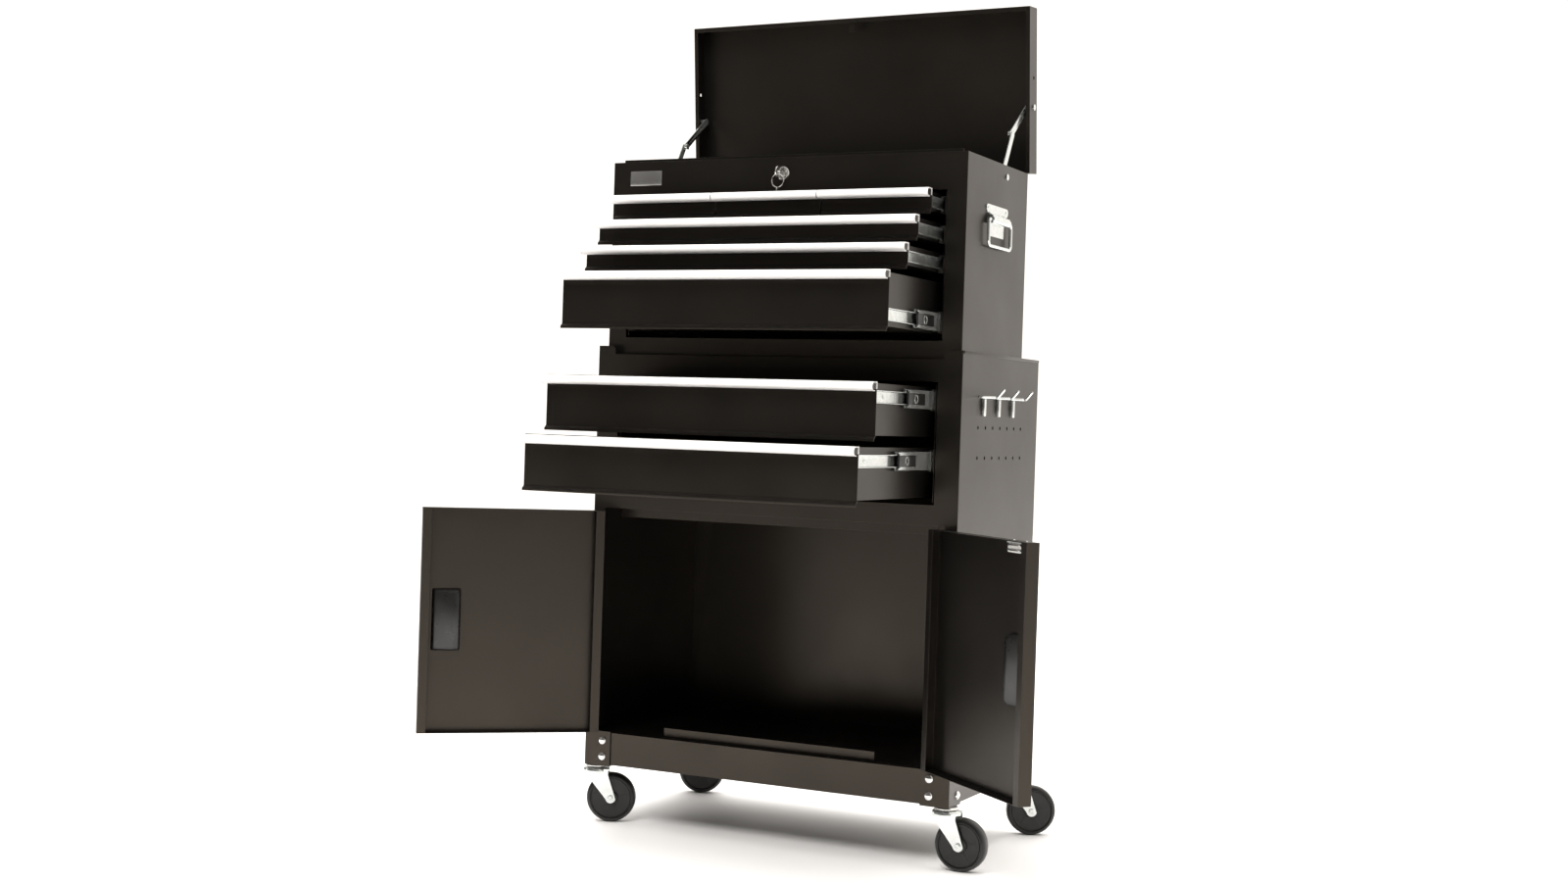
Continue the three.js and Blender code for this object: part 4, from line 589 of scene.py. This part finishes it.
for node in [n for n in SLOT_OF if n.startswith("slide_")]:
    low, high = measured(node)
    side = 1 if node.endswith("right") else -1
    wall, tip = (high.x, low.x) if side > 0 else (low.x, high.x)
    middle, half = (low.z + high.z) / 2, (high.z - low.z) / 2
    work = bmesh.new()
    rolled_channel(work, wall, tip, middle, half, low.y, high.y, MEMBER_NOTCH)
    for up in (-1, 1):
        x0, x1 = sorted((tip, tip + side * BALL_ROW_DEEP))
        z0, z1 = sorted((middle + up * (half - WEB_T - 0.05), middle + up * BALL_ROW_FROM))
        rounded_block(work, spot(x0, low.y + 1.0, z0), spot(x1, high.y - 1.0, z1), 0.5 * MM)
    for back in RING_BACKS:
        pressed_ring(work, along((side, 0, 0), spot(wall, low.y + back, middle)))
    add_piece(node + "_rolled", work, node, stands_for=(node,))
    stop = bmesh.new()
    x0, x1 = sorted((wall + side * 0.6, wall - side * 2.4))
    rounded_block(stop, spot(x0, low.y + STOP_FRONT, middle - STOP_HALF),
                  spot(x1, low.y + STOP_BACK, middle + STOP_HALF), 0.5 * MM)
    add_piece(node + "_stop", stop, node, "black_plastic")
print("middle members rolled")

# %% [markdown]
# ## Pull trims
# Each drawer is opened by an extruded trim that hooks over its front: a flat back, a top, and a smooth nose
# that comes down in front, open at the ends. An extrusion is exactly one outline pushed along a line, so
# the outline is drawn with generous radii and pushed over the trim's measured width.

# %% Extrude the trims
TRIM_LEG = 10.0


def trim_outline(low, high):
    front, back, top, floor = low.y, high.y, high.z, low.z
    outer = [(back, top - TRIM_LEG), (back, top), (front, top), (front, floor), (front + TRIM_LEG, floor)]
    inner = [(front + TRIM_LEG, floor + TRIM_T), (front + TRIM_T, floor + TRIM_T), (front + TRIM_T, top - TRIM_T),
             (back - TRIM_T, top - TRIM_T), (back - TRIM_T, top - TRIM_LEG)]
    near = TRIM_NOSE - TRIM_T
    return rounded(outer + inner, (0.3, 0.5, TRIM_NOSE, TRIM_NOSE, 0.4, 0.4, near, near, 0.4, 0.3), steps=8)


for node in [n for n in SLOT_OF if n.startswith("trim_")]:
    low, high = measured(node)
    work = bmesh.new()
    pushed_along_x(work, trim_outline(low, high), low.x, high.x)
    add_piece(node + "_extruded", work, node, stands_for=(node,))
print("trims extruded")

# %% [markdown]
# ## Wire pieces
# The side handles' bails and the hooks of the peg board are bent from round wire. A curve with a bevel
# would do, but a mesh tube keeps its shape in every export, so rings are carried along the bent path and
# joined.

# %% Helpers for wire
def bent_path(corners, radii, steps=6):
    return rounded(corners, radii, steps, closed=False)


def drawn_wire(work, path, radius, sides=16):
    ways = [(b - a).normalized() for a, b in zip(path, path[1:])]
    ways = [ways[0]] + [(p + q).normalized() for p, q in zip(ways, ways[1:])] + [ways[-1]]
    across = ways[0].orthogonal().normalized()
    rings = []
    for i, (knot, way) in enumerate(zip(path, ways)):
        if i:
            across = ways[i - 1].rotation_difference(way) @ across
        other = way.cross(across)
        rings.append([work.verts.new(knot + (across * math.cos(a) + other * math.sin(a)) * radius)
                      for a in (2 * math.pi * k / sides for k in range(sides))])
    join_rings(work, rings)


# %% Bend the bails
SIDES = (("left", -1), ("right", 1))
CHEST_X, BAIL_OUT, BAIL_R = 300.0, 6.3, 2.6
HANDLE_Y, BAIL_Z, BAIL_DOWN, BAIL_HALF, BAIL_END = 140.0, 957.0, 39.5, 47.5, 20.0
BAIL_BEND = 7.0 * MM

for name, side in SIDES:
    x = side * (CHEST_X + BAIL_OUT)
    corners = [(-BAIL_END, 0), (-BAIL_HALF, 0), (-BAIL_HALF, -BAIL_DOWN), (BAIL_HALF, -BAIL_DOWN),
               (BAIL_HALF, 0), (BAIL_END, 0)]
    path = bent_path([spot(x, HANDLE_Y + y, BAIL_Z + z) for y, z in corners], [0] + [BAIL_BEND] * 4 + [0])
    work = bmesh.new()
    drawn_wire(work, path, BAIL_R * MM)
    add_piece("bail_%s_bent" % name, work, "bail_" + name, stands_for=("bail_" + name,))
print("bails bent")

# %% Bend the hooks
CABINET_X, HOOK_R, HOOK_Z = 308.0, 1.9, 690.4
PEG_Y, PEG_PITCH, HOOK_COUNT = 70.5, 31.2, 3
LOOP_BEND, ARM_BEND, ARM_OUT, ARM_UP = 3.0 * MM, 5.0 * MM, 33.3, 11.2
CLIP_HALF, CLIP_DOWN, CLIP_OUT = 3.75, 28.0, 5.0

for i in range(HOOK_COUNT):
    near = PEG_Y + 2 * i * PEG_PITCH
    far, middle = near + PEG_PITCH, near + PEG_PITCH / 2
    loop = [(-4, near), (6, near), (20, middle - 3.5), (20, middle + 3.5), (6, far), (-4, far)]
    work = bmesh.new()
    drawn_wire(work, bent_path([spot(CABINET_X + out, y, HOOK_Z) for out, y in loop],
                               [0] + [LOOP_BEND] * 4 + [0]), HOOK_R * MM)
    arm = [spot(CABINET_X + out, middle, HOOK_Z + up) for out, up in ((1.5, 0), (24, 0), (ARM_OUT, ARM_UP))]
    drawn_wire(work, bent_path(arm, [0, ARM_BEND, 0]), HOOK_R * MM)
    bmesh.ops.create_uvsphere(work, u_segments=16, v_segments=10, radius=HOOK_R * MM,
                              matrix=Matrix.Translation(arm[-1]))
    rounded_block(work, spot(CABINET_X, middle - CLIP_HALF, HOOK_Z - CLIP_DOWN),
                  spot(CABINET_X + CLIP_OUT, middle + CLIP_HALF, HOOK_Z + HOOK_R), 0.9 * MM)
    node = "hook_%d" % (i + 1)
    add_piece(node + "_bent", work, node, stands_for=(node,))
print("hooks bent")

# %% [markdown]
# ## Side handle plates
# The plate is stamped: two rounded ears take the rivets, and between them the sheet is drawn out into a
# roll that holds the bail's ends. The flat part is an outline with rounded corners, and the roll is a bent
# strip pushed along the bail's axis.

# %% Stamp the handle plates
PLATE_T, ROLL_HALF = 1.6, 37.0
RIVET_Y, RIVET_Z, RIVET_R, RIVET_HIGH = 38.0, 973.5, 3.5, 1.2
PLATE_HALF = [(29.5, 933.0), (29.5, 951.5), (34, 962), (34, 967), (41, 967), (46, 972), (46, 980)]
PLATE_RADII = [3, 2, 1, 2, 2, 4, 5]


def round_the_bail(across, high):
    """The part of the roll's section that runs around the bail, from its top outwards and under it."""
    return [(BAIL_OUT + across * math.cos(a), BAIL_Z + high * math.sin(a))
            for a in (math.radians(60 - 15 * k) for k in range(11))]


outline = rounded(PLATE_HALF + [(-y, z) for y, z in reversed(PLATE_HALF)], PLATE_RADII + PLATE_RADII[::-1])
roll = [(1.0, 969.5), (3.2, 966.5), (8.6, 963.3)] + round_the_bail(4.7, 5.4) + [(3.4, 951.6), (1.0, 951.6)]
inner = [(1.0, 966.0), (3.0, 963.6), (7.4, 961.2)] + round_the_bail(3.3, 3.9) + [(3.2, 953.0), (1.0, 953.0)]
for name, side in SIDES:
    def wall(out, y, z):
        return spot(side * (CHEST_X + out), HANDLE_Y + y, z)

    node, work = "handle_plate_" + name, bmesh.new()
    join_rings(work, [[work.verts.new(wall(out, *point)) for point in outline] for out in (0.0, PLATE_T)])
    join_rings(work, [[work.verts.new(wall(out, y, z)) for out, z in roll + inner[::-1]]
                      for y in (-ROLL_HALF, ROLL_HALF)])
    for end in (-1, 1):
        dome(work, along((side, 0, 0), wall(PLATE_T, end * RIVET_Y, RIVET_Z)), RIVET_R, RIVET_HIGH)
    add_piece(node + "_stamped", work, node, stands_for=(node,))
print("handle plates stamped")

# %% [markdown]
# ## Casters
# A moulded wheel has flat discs with fine ribs and a soft shoulder; its fork is pressed from zinc-plated
# sheet with a skirt around the swivel, and the race above it is a bright turned cup. Wheels, races and
# axle bolts are turned pieces, and the fork's cheeks are outlines pushed through the sheet.

# %% Where the casters stand
AXLE_Z, TRAIL, STEM_X, STEM_IN = 39.0, 25.0, 299.0, 17.0
TURNED_DEG, FRONT_RIGHT_DEG = 26.0, 2.0
CASTERS = []
for end, front in (("front", True), ("rear", False)):
    for name, side in SIDES:
        turned_by = math.radians(FRONT_RIGHT_DEG if front and side > 0 else TURNED_DEG)
        stem = spot(side * STEM_X, STEM_IN if front else CABINET_D - STEM_IN, 0.0)
        place = Matrix.Translation(stem) @ Matrix.Rotation(turned_by, 4, "Z")
        CASTERS.append(("%s_%s" % (end, name), side, front, place))
print(len(CASTERS), "casters")


# %% Mould the wheels
RIB_COUNT, RIB_MIDDLE, RIB_LONG, RIB_FACE, RIB_HIGH = 5, 20.5, 19.5, 9.9, 1.1


def wheel_outline():
    """Hub, disc, groove, shoulder and tread of a wheel, as (radius, height) pairs."""
    half = [(5.0, 13.0), (10.0, 13.0), (11.0, 12.0), (11.5, 9.6), (30.6, 10.4), (31.2, 9.6), (32.0, 9.6),
            (32.6, 11.0), (33.6, 11.5), (35.2, 11.1), (36.8, 10.0), (38.0, 8.2), (38.7, 5.8), (39.0, 3.0)]
    return [(r, -h) for r, h in half] + [(r, h) for r, h in reversed(half)]


for name, side, front, place in CASTERS:
    axle = place @ along((0, 1, 0), Vector((TRAIL, 0, AXLE_Z)) * MM)
    work = bmesh.new()
    turned(work, wheel_outline(), axle, 72, hollow=True)
    for k in range(RIB_COUNT):
        spoke = axle @ Matrix.Rotation(2 * math.pi * (k + 0.3) / RIB_COUNT, 4, "Z")
        for face in (-1, 1):
            for vert in bmesh.ops.create_cube(work, size=1.0)["verts"]:
                x, y, z = vert.co
                rib = Vector((RIB_MIDDLE + x * RIB_LONG, y * (1.0 - 0.3 * z * face), face * RIB_FACE + z * RIB_HIGH))
                vert.co = spoke @ (rib * MM)
    add_piece("wheel_%s_moulded" % name, work, "wheel_" + name, stands_for=("wheel_" + name,))
print("wheels moulded")

# %% Press the forks
CHEEK_IN, CHEEK_T, CHEEK_TIP_R, FORK_TOP = 14.5, 2.5, 8.0, 84.5
BOLT_COLLAR = [(5.0, 0.0), (5.0, 0.9), (4.6, 1.2), (3.9, 1.2)]
BOLT_HEAD = [(3.9, 1.2), (3.9, 2.6), (3.4, 3.0), (1.9, 3.0), (1.6, 2.2), (0.02, 2.2)]
CROWN = [(5.0, 84.0), (19.0, 84.0), (19.6, 81.5), (20.4, 80.0), (21.6, 79.6), (22.0, 80.6), (21.6, 83.4),
         (20.6, 85.6), (18.6, 86.8), (5.0, 87.0)]
STEM = [(5.3, 82.0), (5.3, 91.0), (0.02, 91.0)]


def cheek_outline():
    tip = [(TRAIL + CHEEK_TIP_R * math.cos(a), AXLE_Z + CHEEK_TIP_R * math.sin(a))
           for a in (math.radians(-168 + 12 * k) for k in range(14))]
    return [(-15.0, FORK_TOP), (-15.5, FORK_TOP - 7.0)] + tip + [(20.0, FORK_TOP - 9.0), (20.0, FORK_TOP)]


for name, side, front, place in CASTERS:
    work = bmesh.new()
    for face in (-1, 1):
        near, far = face * CHEEK_IN, face * (CHEEK_IN + CHEEK_T)
        join_rings(work, [[work.verts.new(place @ (Vector((x, y, z)) * MM)) for x, z in cheek_outline()]
                          for y in (near, far)])
    sharp = [e for e in work.edges if e.calc_face_angle(0.0) > math.radians(60)]
    bmesh.ops.bevel(work, geom=sharp, offset=0.5 * MM, segments=2, profile=0.5, affect="EDGES")
    turned(work, CROWN, place, 40, hollow=True)
    turned(work, STEM, place, 20)
    for face in (-1, 1):
        bolt = place @ along((0, face, 0), Vector((TRAIL, face * (CHEEK_IN + CHEEK_T), AXLE_Z)) * MM)
        turned(work, BOLT_COLLAR, bolt, 24)
        turned(work, BOLT_HEAD, bolt, 6)
    turned(work, [(4.0, -CHEEK_IN), (4.0, CHEEK_IN)],
           place @ along((0, 1, 0), Vector((TRAIL, 0, AXLE_Z)) * MM), 16)
    add_piece("fork_%s_pressed" % name, work, "fork_" + name, stands_for=("fork_" + name,))
print("forks pressed")

# %% Turn the races and set the bolts
RACE_LOW = 87.5
RACE = [(6.5, RACE_LOW), (15.8, RACE_LOW), (16.6, RACE_LOW + 0.2), (17.6, RACE_LOW + 1.0), (16.9, RACE_LOW + 1.5),
        (16.9, RACE_LOW + 1.9), (18.0, RACE_LOW + 2.3), (17.7, RACE_LOW + 3.4), (16.4, BRACKET_LOW - 0.05),
        (6.5, BRACKET_LOW - 0.05)]
BOLT_ROWS, BOLT_X, BOLT_DEEP = (107.0, 132.0), 278.0, 30.0
BOLT_SHAPE = (6.5, 4.0, 0.5)

for name, side, front, place in CASTERS:
    work = bmesh.new()
    turned(work, RACE, place, 40, hollow=True)
    out, plane = (-1, -BRACKET_T) if front else (1, CABINET_D + BRACKET_T)
    deep = BOLT_DEEP if front else CABINET_D - BOLT_DEEP
    for row in BOLT_ROWS:
        dome(work, along((0, out, 0), spot(side * BOLT_X, plane, row)), *BOLT_SHAPE)
        dome(work, along((side, 0, 0), spot(side * BRACKET_X, deep, row)), *BOLT_SHAPE)
    add_piece("race_and_bolts_" + name, work, "bracket_" + name, "chrome")
print("races and bolts set")

# %% [markdown]
# ## Door pulls and catch
# A moulded pull fills a cutout of each door, and from inside it is a bulge that is steep towards the hinge
# and slopes away to the free edge. The right door also carries a white magnetic catch. Both are made
# lying in the door's own directions (along its width, into its depth, up) and then swung with the door.

# %% Mould the door pulls
DOOR_OPEN, HINGE_X, HINGE_Y = math.radians(139.2), 287.0, -4.0
PULL_LEFT, PULL_RIGHT, PULL_LOW, PULL_HIGH, DOOR_SKIN = 222.0, 264.0, 275.0, 369.0, 4.0
PULL_T, RIM_OUT, RIM_IN, RIM_FROM = 1.4 * MM, 5, 1, 2.5
BULGE_ENDS = ((0, 0.1), (0.8, 0.55), (3.0, 0.86), (7.0, 1.0))


def door_place(side):
    """The matrix from a door's own millimetres (width, depth, height) to its place in the scene."""
    hinge = Matrix.Translation(spot(side * HINGE_X, HINGE_Y, 0.0)) @ Matrix.Rotation(side * DOOR_OPEN, 4, "Z")
    return hinge @ Matrix.Scale(-side, 4, (1, 0, 0)) @ Matrix.Scale(MM, 4)


def bulge(work, place):
    """The pull seen from inside: its section swells from each end to the full depth."""
    outline = rounded([(PULL_LEFT, DOOR_SKIN), (PULL_LEFT + 1.0, 17.8), (PULL_LEFT + 10.0, 17.8),
                       (PULL_RIGHT - 2.5, 9.5), (PULL_RIGHT, DOOR_SKIN)], (0, 4.0, 5.0, 3.0, 0), closed=False)
    heights = [(PULL_LOW + inset, share) for inset, share in BULGE_ENDS]
    heights += [(PULL_HIGH - inset, share) for inset, share in reversed(BULGE_ENDS)]
    rings = [[work.verts.new(place @ Vector((u, DOOR_SKIN + (v - DOOR_SKIN) * share, z))) for u, v in outline]
             for z, share in heights]
    for near, far in zip(rings, rings[1:]):
        for i in range(len(outline) - 1):
            work.faces.new((near[i], near[i + 1], far[i + 1], far[i]))
    work.faces.new(rings[0])
    work.faces.new(rings[-1])


def frame_ring(work, place, outer, inner, v0, v1):
    loops = [[work.verts.new(place @ Vector((u, v, z))) for u, z in outline]
             for outline, v in ((outer, v0), (outer, v1), (inner, v1), (inner, v0))]
    join_rings(work, loops + loops[:1], ends=False)


def box_outline(beyond, radius):
    """A rounded rectangle that lies this far outside the pull's own edges."""
    u0, u1, z0, z1 = PULL_LEFT - beyond, PULL_RIGHT + beyond, PULL_LOW - beyond, PULL_HIGH + beyond
    return rounded([(u0, z0), (u1, z0), (u1, z1), (u0, z1)], (radius,) * 4)


for name, side in SIDES:
    place, node = door_place(side), "door_pull_" + name
    work = bmesh.new()
    bulge(work, place)
    cup = add_piece(node + "_moulded", work, node, stands_for=(node,), smooth_deg=40.0)
    thick = cup.modifiers.new("wall", "SOLIDIFY")
    thick.thickness, thick.offset = PULL_T, -1.0
    rim = bmesh.new()
    frame_ring(rim, place, box_outline(RIM_OUT, 4.0), box_outline(-RIM_IN, 2.0), RIM_FROM, DOOR_SKIN)
    add_piece(node + "_rim", rim, node)
print("door pulls moulded")

# %% Mould the catch
CATCH_BLOCKS = (((226, 5.2, 480), (266, 17.4, 493), 1.0), ((223, 5.2, 492.6), (269, 19.2, 494.5), 0.8),
                ((226, 16.8, 480), (266, 19.2, 482.2), 0.6), ((226, 16.8, 485.2), (266, 19.2, 488.8), 0.6))
POLE_LOWS, POLE_T = (482.4, 489.4), 2.4
CATCH_SCREWS, CATCH_TOP = (228.0, 262.0), 496.0

swing = door_place(1)
catch, poles = bmesh.new(), bmesh.new()
for low, high, radius in CATCH_BLOCKS:
    rounded_block(catch, Vector(low), Vector(high), radius)
for low in POLE_LOWS:
    rounded_block(poles, Vector((229, 16.8, low)), Vector((263, 22.2, low + POLE_T)), 0.3)
for work in (catch, poles):
    bmesh.ops.transform(work, matrix=swing, verts=work.verts)
for u in CATCH_SCREWS:
    dome(poles, along((0, 0, 1), swing @ Vector((u, 12.0, CATCH_TOP))), 2.4, 1.1)
add_piece("door_catch_moulded", catch, "door_catch", stands_for=("door_catch",))
add_piece("door_catch_poles", poles, "door_catch", "chrome")
print("catch moulded")

# %% [markdown]
# ## Lock, keys and badge
# The lock's bezel is a turned nickel ring around a sunk plug. The key stands in it edge-on, its bow holds a
# wire ring, and a spare key hangs on that. The barrel and its cam behind the sheet are plain, so they stay
# as measured. The badge beside the lock is a bare plate.

# %% Turn the lock and bend the ring
LOCK_Z, CHEST_FRONT, KEY_Y = 1022.0, 15.0, -3.0
RING_R, RING_WIRE, RING_Z, SPARE_Z = 10.0, 0.9, 1009.1, 996.0
BEZEL = [(9.2, 0.0), (10.7, 0.0), (11.0, 0.3), (11.0, 1.0), (10.6, 2.0), (9.8, 2.6), (8.9, 2.7), (8.0, 2.3),
         (7.5, 1.4), (7.3, 0.9), (0.02, 0.9)]
KEY_BOW = [(4.0, 0.3), (4.3, 0.0), (8.6, 0.0), (9.0, 0.4), (9.0, 1.6), (8.6, 2.0), (4.3, 2.0), (4.0, 1.7)]
SPARE_BOW = [(0.02, 0.0), (3.7, 0.0), (4.0, 0.3), (4.0, 1.7), (3.7, 2.0), (0.02, 2.0)]
BADGE_X, BADGE_Z = (-269.0, -213.0), (1009.6, 1032.4)

work = bmesh.new()
work.from_mesh(frame["nodes"]["lock"].data)
cut_off(work, spot(0, CHEST_FRONT - 0.32, 0), (0, -1, 0))
plug = along((0, -1, 0), spot(0, CHEST_FRONT - 0.3, LOCK_Z))
turned(work, BEZEL, plug, 48)
rounded_block(work, spot(-1, KEY_Y + 7.0, LOCK_Z - 3.5), spot(1, CHEST_FRONT - 0.9, LOCK_Z + 3.5), 0.5 * MM)
turned(work, KEY_BOW, along((1, 0, 0), spot(-1, KEY_Y, LOCK_Z)), 32, hollow=True)
add_piece("lock_turned", work, "lock", stands_for=("lock",))

work = bmesh.new()
section = [(RING_R + RING_WIRE * math.cos(a), RING_WIRE * math.sin(a))
           for a in (2 * math.pi * k / 12 for k in range(12))]
turned(work, section, along((0, 1, 0), spot(0, KEY_Y, RING_Z)), 48, hollow=True)
turned(work, SPARE_BOW, along((1, 0, 0), spot(-1, KEY_Y, SPARE_Z)), 24)
rounded_block(work, spot(-1, KEY_Y - 2.0, 989.5), spot(1, KEY_Y + 2.0, 995.0), 0.4 * MM)
add_piece("key_ring_bent", work, "key_ring", stands_for=("key_ring",))

work = bmesh.new()
rounded_block(work, spot(BADGE_X[0], CHEST_FRONT - 0.9, BADGE_Z[0]), spot(BADGE_X[1], CHEST_FRONT + 0.1, BADGE_Z[1]),
              0.4 * MM)
add_piece("bare_badge", work, "chest_front", "chrome")
print("lock, keys and badge made")

# %% [markdown]
# ## Rolled rims
# The cabinet's side walls end in a rolled rim around the tray, and it draws one bright line along the top.
# The roll is a rounded strip that stands a little off the wall.

# %% Roll the tray's rims
RIM_X, RIM_Z, RIM_ENDS, RIM_ROUND = (307.4, 309.6), (751.6, 756.0), (3.0, CABINET_D - 2.0), 0.9 * MM

work = bmesh.new()
for _, side in SIDES:
    inner, outer = sorted(side * x for x in RIM_X)
    rounded_block(work, spot(inner, RIM_ENDS[0], RIM_Z[0]), spot(outer, RIM_ENDS[1], RIM_Z[1]), RIM_ROUND)
add_piece("tray_rims", work, "cabinet_shell")
print("rims rolled")
